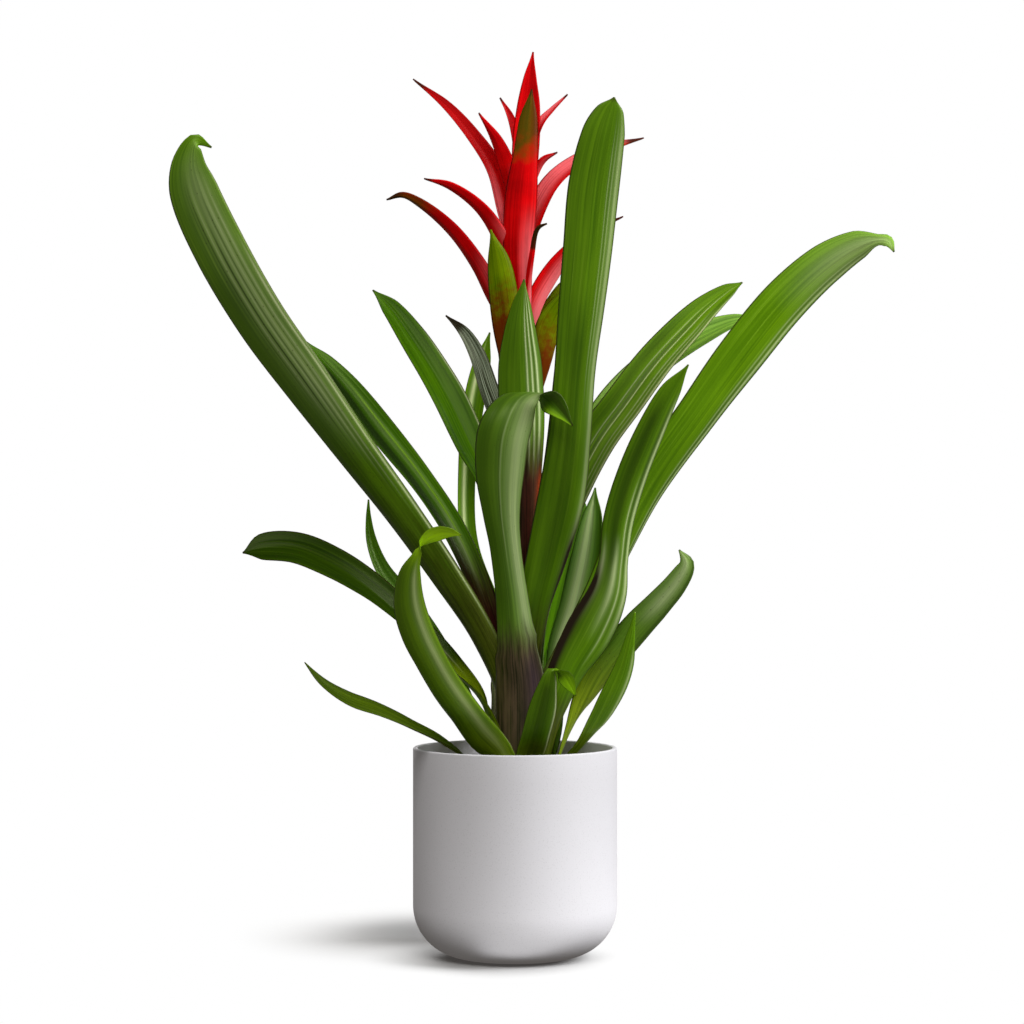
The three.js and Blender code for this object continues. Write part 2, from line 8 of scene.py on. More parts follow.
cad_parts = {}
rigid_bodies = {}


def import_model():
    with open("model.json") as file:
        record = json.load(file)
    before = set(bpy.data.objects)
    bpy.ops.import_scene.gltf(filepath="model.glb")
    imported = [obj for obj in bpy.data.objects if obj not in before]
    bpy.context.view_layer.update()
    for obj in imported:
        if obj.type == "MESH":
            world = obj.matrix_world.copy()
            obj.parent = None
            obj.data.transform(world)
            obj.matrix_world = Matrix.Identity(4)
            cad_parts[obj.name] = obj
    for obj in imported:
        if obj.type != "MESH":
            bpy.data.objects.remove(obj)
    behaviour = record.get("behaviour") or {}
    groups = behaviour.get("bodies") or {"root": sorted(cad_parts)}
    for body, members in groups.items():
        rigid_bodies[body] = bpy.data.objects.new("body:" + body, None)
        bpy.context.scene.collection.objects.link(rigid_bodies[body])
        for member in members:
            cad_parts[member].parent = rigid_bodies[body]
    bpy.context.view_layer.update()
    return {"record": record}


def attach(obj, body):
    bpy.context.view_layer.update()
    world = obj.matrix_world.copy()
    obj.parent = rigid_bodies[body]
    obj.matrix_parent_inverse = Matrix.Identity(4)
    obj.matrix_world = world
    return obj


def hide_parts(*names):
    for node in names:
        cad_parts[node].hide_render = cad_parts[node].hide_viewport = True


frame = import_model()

mm = 0.001


# shared tools: colours, node wiring and turning node results into plain meshes

def ink(*channels):
    # a screen colour, red, green and blue from 0 to 255, as the linear one that Blender mixes with
    linear = [((v / 255 + 0.055) / 1.055) ** 2.4 if v > 10 else v / 255 / 12.92 for v in channels]
    return (*linear, 1.0)


class Wire:
    # an output socket that can be added, scaled and compared like a number
    def __init__(self, board, socket):
        self.board = board
        self.socket = socket

    def __add__(self, other):
        return self.board.math("ADD", self, other)

    def __radd__(self, other):
        return self.board.math("ADD", other, self)

    def __sub__(self, other):
        return self.board.math("SUBTRACT", self, other)

    def __rsub__(self, other):
        return self.board.math("SUBTRACT", other, self)

    def __mul__(self, other):
        return self.board.math("MULTIPLY", self, other)

    def __rmul__(self, other):
        return self.board.math("MULTIPLY", other, self)

    def __truediv__(self, other):
        return self.board.math("DIVIDE", self, other)

    def __rtruediv__(self, other):
        return self.board.math("DIVIDE", other, self)

    def __pow__(self, other):
        return self.board.math("POWER", self, other)

    def __gt__(self, other):
        return self.board.math("GREATER_THAN", self, other)

    def __abs__(self):
        return self.board.math("ABSOLUTE", self)

    def ramp(self, start, end):
        # 0 before start and 1 after end, smooth between them; start may be the larger one
        low, high, first, last = (start, end, 0.0, 1.0) if start < end else (end, start, 1.0, 0.0)
        return self.board.add("ShaderNodeMapRange", {"interpolation_type": "SMOOTHSTEP"},
                              [self, low, high, first, last])

    def bell(self, middle, width):
        # 1 at the middle, falling away over the width on either side
        away = (self - middle) / width
        return 1 / (1 + away * away * 0.5) ** 2

    def out(self, name):
        return Wire(self.board, self.socket.node.outputs[name])

    def split(self):
        parts = self.board.add("ShaderNodeSeparateXYZ", {}, [self])
        return parts, parts.out("Y"), parts.out("Z")


class Board:
    # a node tree that is being wired up
    def __init__(self, tree):
        self.tree = tree

    def add(self, kind, settings=None, inputs=(), output=0):
        node = self.tree.nodes.new(kind)
        for key, value in (settings or {}).items():
            setattr(node, key, value)
        pairs = inputs.items() if isinstance(inputs, dict) else enumerate(inputs)
        for key, value in pairs:
            if isinstance(value, Wire):
                self.tree.links.new(value.socket, node.inputs[key])
            elif value is not None:
                node.inputs[key].default_value = value
        return Wire(self, node.outputs[output]) if node.outputs else node

    def math(self, operation, *values):
        return self.add("ShaderNodeMath", {"operation": operation}, values)

    def vector(self, x, y, z):
        return self.add("ShaderNodeCombineXYZ", {}, [x, y, z])

    def space(self, operation, *values, output=0):
        return self.add("ShaderNodeVectorMath", {"operation": operation}, values, output)

    def stretch(self, vector, amount):
        return self.add("ShaderNodeVectorMath", {"operation": "SCALE"}, {"Vector": vector, "Scale": amount})

    def blend(self, factor, first, second):
        # one colour over another
        return self.add("ShaderNodeMix", {"data_type": "RGBA"}, {0: factor, 6: first, 7: second}, 2)

    def grain(self, vector, scale, detail=2.0, roughness=0.5):
        return self.add("ShaderNodeTexNoise", {},
                        {"Vector": vector, "Scale": scale, "Detail": detail, "Roughness": roughness})

    def attribute(self, name, output="Fac"):
        return self.add("ShaderNodeAttribute", {"attribute_name": name}, output=output)

    def objectSpot(self):
        return self.add("ShaderNodeTexCoord", output="Object")

    def bump(self, height, strength, depth):
        return self.add("ShaderNodeBump", {}, {"Strength": strength, "Distance": depth, "Height": height})

    def finish(self, values):
        # plain numbers go on the shader's own sockets and wires are linked to them
        shader = self.tree.nodes["Principled BSDF"]
        for key, value in values.items():
            if isinstance(value, Wire):
                self.tree.links.new(value.socket, shader.inputs[key])
            else:
                shader.inputs[key].default_value = value


def unevenRough(rough, grain):
    # a roughness that wanders with a grain: its middle and how far it goes from end to end
    middle, swing = rough
    return middle + (grain - 0.5) * swing


def newMaterial(name):
    material = bpy.data.materials.new(name)
    material.use_nodes = True
    return material, Board(material.node_tree)


def newTree(name, kinds, result):
    # a Geometry Nodes tree with named inputs and one geometry output
    tree = bpy.data.node_groups.new(name, "GeometryNodeTree")
    for key, kind in kinds.items():
        tree.interface.new_socket(name=key, in_out="INPUT", socket_type="NodeSocket" + kind)
    tree.interface.new_socket(name=result, in_out="OUTPUT", socket_type="NodeSocketGeometry")
    board = Board(tree)
    given = board.add("NodeGroupInput")
    return tree, board, {key: given.out(key) for key in kinds}


def closeTree(board, geometry, material):
    # every tree ends in real geometry with its material on it
    whole = board.add("GeometryNodeRealizeInstances", {}, [geometry])
    painted = board.add("GeometryNodeSetMaterial", {}, {"Geometry": whole, "Material": material})
    board.add("NodeGroupOutput", {}, [painted])


def makeObject(name, mesh):
    piece = bpy.data.objects.new(name, mesh)
    bpy.context.scene.collection.objects.link(piece)
    return piece


def runNodes(piece, tree, values):
    # runs a Geometry Nodes tree on the piece and keeps its result as a plain mesh
    modifier = piece.modifiers.new("grow", "NODES")
    modifier.node_group = tree
    for socket in tree.interface.items_tree:
        if socket.item_type == "SOCKET" and socket.in_out == "INPUT" and socket.name in values:
            modifier[socket.identifier] = values[socket.name]
    plainMesh(piece)


def plainMesh(piece):
    graph = bpy.context.evaluated_depsgraph_get()
    made = bpy.data.meshes.new_from_object(piece.evaluated_get(graph), preserve_all_data_layers=True,
                                           depsgraph=graph)
    piece.modifiers.clear()
    piece.data = made


def joinPieces(name, pieces):
    for other in bpy.context.view_layer.objects:
        other.select_set(other in pieces)
    bpy.context.view_layer.objects.active = pieces[0]
    bpy.ops.object.join()
    pieces[0].name = name
    return pieces[0]


def handOver(piece, slotName, *nodes):
    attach(piece, "root")
    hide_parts(*nodes)


# the blade, which leaves and bracts share: a path with widths and facings, swept by Geometry Nodes

def along(values, t):
    # a smooth value at place t (0 to 1) along a list of evenly spaced ones
    at = min(max(t, 0), 1) * (len(values) - 1)
    i = min(int(at), len(values) - 2)
    f = at - i
    before = values[max(i - 1, 0)]
    after = values[min(i + 2, len(values) - 1)]
    m0 = (values[i + 1] - before) / 2
    m1 = (after - values[i]) / 2
    step = values[i + 1] - values[i]
    return values[i] + m0 * f + (3 * step - 2 * m0 - m1) * f * f + (m0 + m1 - 2 * step) * f * f * f


def heading(azimuth, pitch):
    a, p = math.radians(azimuth), math.radians(pitch)
    return Vector((math.cos(a) * math.cos(p), math.sin(a) * math.cos(p), math.sin(p)))


def pathPoint(points, t):
    # a curve through all points whose speed follows the square root of their spacing
    at = min(max(t, 0), 1) * (len(points) - 1)
    i = min(int(at), len(points) - 2)
    f = at - i
    p1, p2 = points[i], points[i + 1]
    p0 = points[i - 1] if i > 0 else 2 * p1 - p2
    p3 = points[i + 2] if i + 2 < len(points) else 2 * p2 - p1
    d0, d1, d2 = math.sqrt((p1 - p0).length), math.sqrt((p2 - p1).length), math.sqrt((p3 - p2).length)
    m1 = ((p1 - p0) / d0 - (p2 - p0) / (d0 + d1) + (p2 - p1) / d1) * d1
    m2 = ((p2 - p1) / d1 - (p3 - p1) / (d1 + d2) + (p3 - p2) / d2) * d1
    return p1 + m1 * f + (3 * p2 - 3 * p1 - 2 * m1 - m2) * f * f + (2 * p1 - 2 * p2 + m1 + m2) * f * f * f


def pathObject(name, rows, nicks=()):
    # rows hold x, y, z, width, the azimuth and pitch that the underside faces, and the cup angle.
    # nicks hold place along, side (-1 or 1), depth as a share of the half width, and reach along.
    points = [Vector(row[:3]) for row in rows]
    facings = [heading(row[4], row[5]) for row in rows]
    steps = (len(rows) - 1) * bladeShape["pathSteps"]
    mesh = bpy.data.meshes.new(name)
    places = [k / steps for k in range(steps + 1)]
    mesh.from_pydata([pathPoint(points, t) * mm for t in places], [(k, k + 1) for k in range(steps)], [])
    halves = mesh.attributes.new("halves", "FLOAT_VECTOR", "POINT")
    facing = mesh.attributes.new("facing", "FLOAT_VECTOR", "POINT")
    for k, t in enumerate(places):
        half = max(along([row[3] for row in rows], t), tipWidth) / 2 * mm
        cup = math.radians(max(along([row[6] for row in rows], t), bladeShape["leastCup"]))
        sides = []
        for side in (-1, 1):
            kept = 1.0
            for place, nickSide, depth, reach in nicks:
                if nickSide == side:
                    kept -= depth * math.exp(-((t - place) / reach) ** 2)
            sides.append(half * kept)
        halves.data[k].vector = (sides[0], sides[1], cup)
        facing.data[k].vector = [along([v[axis] for v in facings], t) for axis in range(3)]
    return makeObject(name, mesh)


tipWidth = 1.2                # mm, the width of every blade's point
bladeShape = {
    "pathSteps": 10,          # points of the path for each row
    "leastCup": 5,            # degrees
    "tipCrowding": 1.3,       # how much closer the rows of faces lie near the tip
    "mergeGap": 1e-7,         # m, closes the margins
    "riseAfterFoot": 0.12,    # share of the length over which ribs and ripples grow
    "fallToTip": 0.06,        # and over which they fade
    "ribDrift": 3,            # how much the ribs wander along the blade
    "ripplesAcross": 0.6,
    "edgePower": 5,           # how close to its margins the blade keeps its thickness
    "footTaper": 0.01,        # shares of the length that thin out at its ends
    "tipTaper": 0.015,
}


def sweepTree():
    tree, board, ask = newTree("sweepBlade", {
        "Path": "Geometry", "Sections": "Int", "Strips": "Int", "Thickness": "Float", "Ribs": "Float",
        "Rib height": "Float", "Keel": "Float", "Keel width": "Float", "Ripple": "Float",
        "Ripple count": "Float", "Flat until": "Float", "Seed": "Float", "Look": "Vector",
        "Material": "Material"}, "Blade")

    # two flat grids that share their outline: the underside, and the upper face turned over
    shape = bladeShape
    faces = []
    for side in (1.0, -1.0):
        grid = board.add("GeometryNodeMeshGrid", {}, [1.0, 2.0, ask["Sections"] + 1, ask["Strips"] + 1])
        if side > 0:
            grid = board.add("GeometryNodeFlipFaces", {}, [grid])
        faces.append(store(board, grid, "side", side))
    both = board.add("GeometryNodeJoinGeometry")
    for face in reversed(faces):
        tree.links.new(face.socket, both.socket.node.inputs[0])
    x, y = board.add("GeometryNodeInputPosition").split()[:2]
    both = store(board, both, "across", y)
    both = store(board, both, "along", 1 - (0.5 - x) ** shape["tipCrowding"])
    both = store(board, both, "look", ask["Look"], "FLOAT_VECTOR")
    share = named(board, "across", "FLOAT")
    place = named(board, "along", "FLOAT")
    side = named(board, "side", "FLOAT")

    # the path's own line, widths and facings at each corner of the grids
    curve = board.add("GeometryNodeMeshToCurve", {}, [ask["Path"]])
    sampling = {"data_type": "FLOAT_VECTOR", "mode": "FACTOR"}
    widths = board.add("GeometryNodeSampleCurve", sampling,
                       {0: curve, 1: named(board, "halves", "FLOAT_VECTOR"), 2: place})
    facing = board.add("GeometryNodeSampleCurve", sampling,
                       {0: curve, 1: named(board, "facing", "FLOAT_VECTOR"), 2: place})
    left, right, cup = widths.split()
    half = left + (right - left) * (share > 0)
    tangent = board.space("NORMALIZE", widths.out("Tangent"))
    lengthwise = board.stretch(tangent, board.space("DOT_PRODUCT", facing, tangent, output="Value"))
    outward = board.space("NORMALIZE", board.space("SUBTRACT", facing, lengthwise))
    sideways = board.space("CROSS_PRODUCT", tangent, outward)

    # a section that cups round the stalk, with a keel, fine ribs, rippled margins and thin edges
    radius = 2 * half / cup
    angle = share * cup / 2
    sine, cosine = board.math("SINE", angle), board.math("COSINE", angle)
    loose = (place - ask["Flat until"]).ramp(0.0, shape["riseAfterFoot"])
    loose = loose * (1 - place).ramp(0.0, shape["fallToTip"])
    ribSpot = board.vector(share * ask["Ribs"], place * shape["ribDrift"], ask["Seed"])
    rippleSpot = board.vector(share * shape["ripplesAcross"], place * ask["Ripple count"], ask["Seed"] + 7)
    ribField, rippleField = board.grain(ribSpot, 1.0, 1.0), board.grain(rippleSpot, 1.0, 0.0)
    keelAway = share / ask["Keel width"]
    keel = ask["Keel"] / (1 + keelAway * keelAway)
    relief = ((ribField - 0.5) * ask["Rib height"] + keel) * (1 - share * share)
    relief = (relief + (rippleField - 0.5) * ask["Ripple"] * share * share) * loose
    body = board.math("SQRT", 1 - abs(share) ** shape["edgePower"])
    ends = place.ramp(0.0, shape["footTaper"]) * (1 - place).ramp(0.0, shape["tipTaper"])
    depth = ask["Thickness"] / 2 * side * body * ends
    normal = board.space("ADD", board.stretch(outward, cosine), board.stretch(sideways, sine))
    spot = board.space("ADD", widths.out("Position"), board.stretch(sideways, sine * radius))
    spot = board.space("ADD", spot, board.stretch(outward, (cosine - 1) * radius))
    spot = board.space("ADD", spot, board.stretch(normal, depth + relief))

    placed = board.add("GeometryNodeSetPosition", {}, {"Geometry": both, "Position": spot})
    closed = board.add("GeometryNodeMergeByDistance", {},
                       {"Geometry": placed, "Distance": shape["mergeGap"]})
    closeTree(board, board.add("GeometryNodeSetShadeSmooth", {}, [closed]), ask["Material"])
    return tree


def store(board, geometry, name, value, kind="FLOAT"):
    return board.add("GeometryNodeStoreNamedAttribute", {"data_type": kind, "domain": "POINT"},
                     {"Geometry": geometry, "Name": name, "Value": value})


def named(board, name, kind):
    return board.add("GeometryNodeInputNamedAttribute", {"data_type": kind}, {"Name": name})


def pathLength(rows):
    return sum((Vector(b[:3]) - Vector(a[:3])).length for a, b in zip(rows, rows[1:]))


bladeTree = sweepTree()
print("blade tree wired")


# Each leaf, in mm and degrees. az: where its sheath clasps the stalk (0 right, 90 back, 180 left,
# 270 towards the viewer). ring: its place in the nest of sheaths. rise: height of the sheath.
# lean: how far the sheath opens. hold: width of the sheath along its arc. rows: x, y, z, width,
# azimuth and pitch that the underside faces, and the angle that the section cups through.
leafShapes = {
    "leaf_front_inner": {"az": 280, "ring": 0, "rise": 66, "lean": 1, "hold": 20, "rows": [
        [4, -13, 250, 28, 272, 0, 120], [4, -14, 320, 33, 270, 0, 120], [4, -16, 355, 35, 268, 0, 110],
        [3, -17, 389, 32, 268, 0, 90], [3, -19, 412, 23, 268, 0, 80], [4, -20, 430, 13, 268, 0, 70],
        [6, -21, 446, tipWidth, 268, 0, 40]]},
    "leaf_back_left": {"az": 98, "ring": 3, "rise": 60, "lean": 2, "hold": 20, "rows": [
        [-16, 24, 225, 18, 98, 0, 80], [-31, 39, 275, 13, 85, 0, 70], [-32, 43, 325, 13, 80, 0, 60],
        [-28, 44, 365, 15, 80, 0, 50], [-22, 42, 395, 12, 80, 0, 40], [-17, 40, 415, tipWidth, 80, 0, 30]]},
    "leaf_right_tall": {"az": 302, "ring": 1, "rise": 66, "lean": 1, "hold": 25, "rows": [
        [14, -16, 225, 28, 300, 0, 100], [23, -20, 266, 31, 288, 0, 75], [31, -27, 303, 33, 282, 0, 60],
        [36, -36, 343, 29, 280, 0, 50], [39, -44, 383, 28, 280, 0, 45], [43, -52, 423, 31, 280, 0, 40],
        [47, -60, 462, 33, 280, 0, 40], [51, -68, 503, 34, 280, 0, 40], [57, -75, 536, 28, 280, 0, 35],
        [61, -77, 550, 17, 280, 0, 30], [63, -78, 557, tipWidth, 280, 0, 20]]},
    "leaf_left_inner": {"az": 150, "ring": 0, "rise": 66, "lean": 1, "hold": 18, "rows": [
        [-6, 9, 250, 20, 148, 0, 110], [-19, 11, 315, 22, 120, 0, 80], [-30, 16, 338, 24, 110, -5, 70],
        [-43, 25, 366, 25, 106, -8, 70], [-55, 34, 388, 23, 104, -8, 60], [-70, 44, 412, 20, 102, -8, 50],
        [-85, 53, 433, 13, 100, -8, 40], [-97, 58, 445, tipWidth, 100, -8, 30]]},
    "leaf_right_back": {"az": 50, "ring": 2, "rise": 66, "lean": 1, "hold": 21, "rows": [
        [17, 16, 238, 22, 62, 0, 100], [34, 24, 296, 25, 76, -5, 80], [54, 33, 339, 29, 80, -10, 75],
        [74, 42, 367, 29, 82, -12, 75], [95, 53, 395, 27, 82, -14, 70], [118, 64, 420, 24, 82, -16, 65],
        [132, 71, 434, 19, 82, -18, 60], [147, 77, 446, 11, 82, -18, 50],
        [157, 80, 452, tipWidth, 82, -18, 30]]},
    "leaf_left_tall": {"az": 214, "ring": 3, "rise": 60, "lean": 2, "hold": 27, "rows": [
        [-23, -9, 209, 26, 228, 0, 110], [-48, -19, 251, 27, 238, -5, 90], [-77, -31, 294, 29, 240, -8, 70],
        [-106, -44, 334, 32, 240, -8, 55], [-136, -57, 376, 37, 241, -8, 45],
        [-164, -70, 416, 39, 242, -6, 40], [-188, -83, 458, 40, 244, -4, 40],
        [-204, -93, 496, 36, 246, -2, 40], [-206, -96, 514, 25, 246, 0, 40],
        [-201, -97, 527, 10, 246, 0, 30], [-191, -94, 523, tipWidth, 246, 0, 20]]},
    "leaf_left_back": {"az": 155, "ring": 2, "rise": 62, "lean": 2, "hold": 20, "rows": [
        [-18, 8, 222, 21, 132, 0, 110], [-41, 21, 279, 20, 112, -8, 95], [-66, 36, 317, 20, 108, -12, 85],
        [-94, 50, 352, 22, 106, -14, 75], [-114, 61, 378, 18, 106, -14, 65],
        [-131, 69, 397, 12, 106, -14, 50], [-144, 75, 411, tipWidth, 106, -14, 30]]},
    "leaf_right_long": {"az": 350, "ring": 3, "rise": 60, "lean": 2, "hold": 24, "rows": [
        [36, -5, 203, 22, 326, 0, 90], [58, -3, 243, 25, 314, -5, 75], [88, -4, 308, 31, 302, -10, 60],
        [123, -7, 359, 33, 296, -12, 50], [149, -11, 395, 36, 294, -12, 40],
        [178, -17, 431, 35, 292, -12, 40], [205, -23, 456, 30, 292, -12, 40],
        [225, -27, 468, 20, 292, -10, 40], [236, -29, 471, 8, 290, -5, 40], [243, -30, 470, 8, 280, 0, 30],
        [247, -30, 463, tipWidth, 280, 0, 20]]},
    "leaf_front_arched": {"az": 268, "ring": 4, "rise": 66, "lean": 4, "hold": 39, "nicks": [
        (0.245, 1, -0.12, 0.009), (0.202, -1, -0.12, 0.009)], "rows": [
        [1, -27, 205, 32, 268, 0, 130], [-2, -35, 237, 24, 268, 0, 100], [-6, -42, 268, 22, 268, 0, 80],
        [-9, -49, 292, 26, 268, 0, 65], [-10, -56, 320, 33, 266, 0, 55], [-7, -61, 346, 35, 266, 0, 50],
        [3, -58, 366, 28, 262, 50, 40], [14, -53, 370, 20, 230, 80, 40], [22, -53, 366, 19, 110, 50, 40],
        [29, -54, 359, 12, 100, 30, 30], [37, -55, 349, tipWidth, 100, 30, 30]]},
    "leaf_back_tall": {"az": 85, "ring": 4, "rise": 62, "lean": 3, "hold": 26, "rows": [
        [10, 30, 215, 24, 84, 0, 80], [23, 51, 270, 26, 84, 0, 60], [34, 72, 330, 28, 84, -5, 55],
        [41, 94, 390, 28, 84, -8, 50], [44, 112, 440, 21, 84, -8, 45], [46, 124, 470, 11, 84, -8, 40],
        [47, 129, 484, tipWidth, 84, -8, 30]]},
    "leaf_right_front": {"az": 318, "ring": 5, "rise": 24, "lean": 12, "hold": 30, "rows": [
        [26, -23, 163, 28, 308, 0, 75], [36, -28, 190, 30, 300, 0, 65], [50, -31, 215, 36, 296, 0, 60],
        [61, -36, 240, 29, 292, 0, 55], [65, -40, 262, 22, 292, 0, 60], [68, -44, 288, 23, 294, 0, 60],
        [76, -49, 316, 23, 296, 0, 50], [88, -55, 346, 21, 296, 0, 45], [100, -60, 371, 15, 296, 0, 40],
        [111, -63, 388, tipWidth, 296, 0, 30]]},
    "leaf_right_far": {"az": 80, "ring": 5, "rise": 50, "lean": 6, "hold": 23, "rows": [
        [14, 44, 220, 20, 70, -10, 70], [33, 68, 300, 22, 66, -30, 60], [64, 81, 364, 24, 72, -35, 60],
        [97, 91, 396, 26, 78, -35, 55], [130, 98, 417, 21, 80, -35, 50], [154, 102, 427, 12, 80, -35, 40],
        [172, 104, 429, tipWidth, 80, -35, 30]]},
    "leaf_left_mid": {"az": 200, "ring": 5, "rise": 36, "lean": 7, "hold": 24, "rows": [
        [-23, -12, 170, 24, 176, -30, 80], [-40, -17, 191, 25, 150, -45, 70],
        [-58, -21, 210, 25, 130, -48, 70], [-77, -26, 228, 26, 118, -48, 70],
        [-97, -29, 245, 27, 112, -44, 60], [-119, -31, 259, 28, 110, -40, 50],
        [-143, -33, 269, 27, 108, -38, 45], [-165, -35, 270, 21, 106, -36, 40],
        [-177, -36, 267, tipWidth, 106, -34, 30]]},
    "leaf_right_short": {"az": 15, "ring": 6, "rise": 36, "lean": 14, "hold": 20, "rows": [
        [30, 15, 196, 20, 48, 0, 70], [41, 19, 232, 22, 68, 0, 60], [48, 23, 262, 22, 76, 0, 55],
        [52, 27, 290, 14, 80, 0, 50], [54, 31, 310, tipWidth, 80, 0, 40]]},
    "leaf_left_front": {"az": 235, "ring": 6, "rise": 20, "lean": 20, "hold": 24, "rows": [
        [-23, -28, 147, 28, 240, 0, 70], [-34, -37, 163, 25, 244, 0, 60], [-46, -46, 181, 24, 248, 0, 55],
        [-55, -55, 198, 23, 252, 0, 50], [-63, -63, 216, 23, 256, 0, 50], [-68, -72, 236, 21, 258, 0, 50],
        [-67, -80, 254, 15, 258, 0, 50], [-62, -85, 267, 6, 262, 20, 50], [-58, -87, 275, 9, 130, 30, 40],
        [-51, -88, 280, 13, 100, 40, 40], [-43, -87, 281, 10, 96, 40, 40],
        [-34, -84, 279, tipWidth, 96, 40, 30]]},
    "leaf_back_arched": {"az": 120, "ring": 6, "rise": 30, "lean": 14, "hold": 24, "rows": [
        [-7, 42, 168, 24, 110, -10, 70], [-5, 76, 212, 24, 100, -30, 60], [-1, 118, 248, 24, 94, -50, 50],
        [2, 160, 262, 22, 92, -70, 45], [3, 190, 254, 14, 92, -85, 40],
        [4, 206, 240, tipWidth, 92, -89, 30]]},
    "leaf_right_low": {"az": 358, "ring": 7, "rise": 22, "lean": 18, "hold": 19, "rows": [
        [39, -2, 154, 20, 345, 0, 70], [47, -4, 170, 23, 318, -10, 60], [56, -8, 186, 25, 300, -15, 55],
        [68, -12, 202, 24, 292, -15, 50], [81, -16, 218, 23, 290, -15, 50],
        [94, -20, 232, 21, 290, -15, 50], [106, -24, 247, 17, 288, -15, 50],
        [112, -27, 260, 11, 284, -10, 50], [107, -28, 269, tipWidth, 280, 0, 40]]},
    "leaf_front_short": {"az": 282, "ring": 7, "rise": 20, "lean": 20, "hold": 19, "rows": [
        [13, -37, 146, 19, 276, 0, 50], [18, -43, 167, 18, 274, 0, 40], [21, -47, 182, 12, 272, 10, 40],
        [24, -49, 192, 7, 266, 50, 40], [30, -50, 190, 11, 100, 60, 40], [35, -50, 183, 9, 95, 30, 40],
        [39, -50, 175, tipWidth, 90, 20, 30]]},
    "leaf_left_small": {"az": 172, "ring": 7, "rise": 22, "lean": 16, "hold": 14, "rows": [
        [-28, 5, 160, 14, 168, 0, 70], [-50, 10, 202, 15, 140, 0, 65], [-74, 14, 236, 14, 120, 0, 60],
        [-89, 17, 256, 11, 110, 0, 55], [-96, 19, 274, 8, 104, 0, 50], [-98, 20, 290, 4, 100, 0, 40],
        [-98, 20, 302, tipWidth, 100, 0, 30]]},
    "leaf_back_right": {"az": 80, "ring": 7, "rise": 22, "lean": 18, "hold": 24, "rows": [
        [12, 46, 166, 26, 78, -10, 65], [24, 84, 208, 27, 74, -30, 55], [34, 122, 250, 27, 72, -35, 50],
        [42, 156, 284, 20, 72, -45, 45], [47, 176, 298, 10, 72, -55, 40],
        [50, 188, 301, tipWidth, 72, -60, 30]]},
    "leaf_right_lowest": {"az": 326, "ring": 8, "rise": 12, "lean": 36, "hold": 12, "rows": [
        [44, -28, 142, 13, 322, 0, 60], [54, -37, 157, 15, 300, 0, 60], [63, -45, 175, 16, 286, 0, 55],
        [70, -50, 193, 13, 282, 0, 50], [74, -55, 212, 7, 280, 0, 40],
        [77, -58, 230, tipWidth, 280, 0, 30]]},
    "leaf_left_low": {"az": 210, "ring": 8, "rise": 12, "lean": 40, "hold": 14, "rows": [
        [-46, -29, 142, 19, 165, -60, 60], [-67, -41, 154, 20, 155, -60, 55],
        [-88, -52, 165, 20, 145, -56, 50], [-107, -61, 173, 17, 130, -52, 45],
        [-122, -69, 184, 9, 120, -50, 40], [-134, -75, 198, tipWidth, 120, -50, 30]]},
    "leaf_back_low": {"az": 100, "ring": 8, "rise": 14, "lean": 32, "hold": 20, "rows": [
        [-4, 46, 150, 22, 98, -30, 60], [-5, 72, 166, 24, 96, -45, 55], [-5, 102, 172, 24, 94, -70, 50],
        [-5, 132, 158, 20, 92, -88, 45], [-4, 152, 136, 12, 272, -60, 40],
        [-4, 164, 114, tipWidth, 272, -45, 30]]},
}


# Each bract: azimuth and pitch of its underside, how far it cups, and x, y, z and width from root to tip.
greenBracts = [
    {"face": [270, 0], "cup": 70, "rows": [
        [4, -2, 364, 13], [-2, -10, 392, 16], [-5, -13, 414, 20], [-8, -15, 440, 20], [-11, -16, 460, 15],
        [-16, -16, 479, tipWidth]]},
    {"face": [285, -10], "cup": 60, "rows": [
        [5, 0, 350, 12], [17, -7, 392, 16], [23, -8, 417, 18], [34, -9, 435, 12], [45, -9, 447, tipWidth]]},
    {"face": [60, 0], "cup": 60, "rows": [
        [5, 1, 350, 12], [12, 9, 392, 15], [20, 13, 420, 14], [30, 16, 440, 10], [42, 18, 458, tipWidth]]},
    {"face": [104, -5], "cup": 60, "rows": [
        [3, 0, 318, 14], [-9, 4, 352, 15], [-18, 6, 376, 14], [-25, 6, 397, 12], [-34, 5, 413, 8],
        [-46, 4, 424, tipWidth]]},
    {"face": [110, 0], "cup": 90, "rows": [
        [4, 1, 335, 14], [0, 10, 368, 17], [-5, 14, 396, 16], [-9, 16, 418, 10], [-13, 17, 434, tipWidth]]},
    {"face": [345, 0], "cup": 120, "rows": [
        [5, 0, 238, 14], [12, -3, 270, 17], [13, -4, 300, 14], [14, -4, 330, tipWidth]]},
    {"face": [80, 0], "cup": 120, "rows": [
        [4, 1, 275, 14], [5, 9, 305, 16], [6, 10, 335, 13], [7, 12, 362, tipWidth]]},
    {"face": [190, 0], "cup": 120, "rows": [
        [4, 0, 210, 14], [-4, -1, 240, 16], [-5, -1, 268, 13], [-6, -1, 292, tipWidth]]},
]

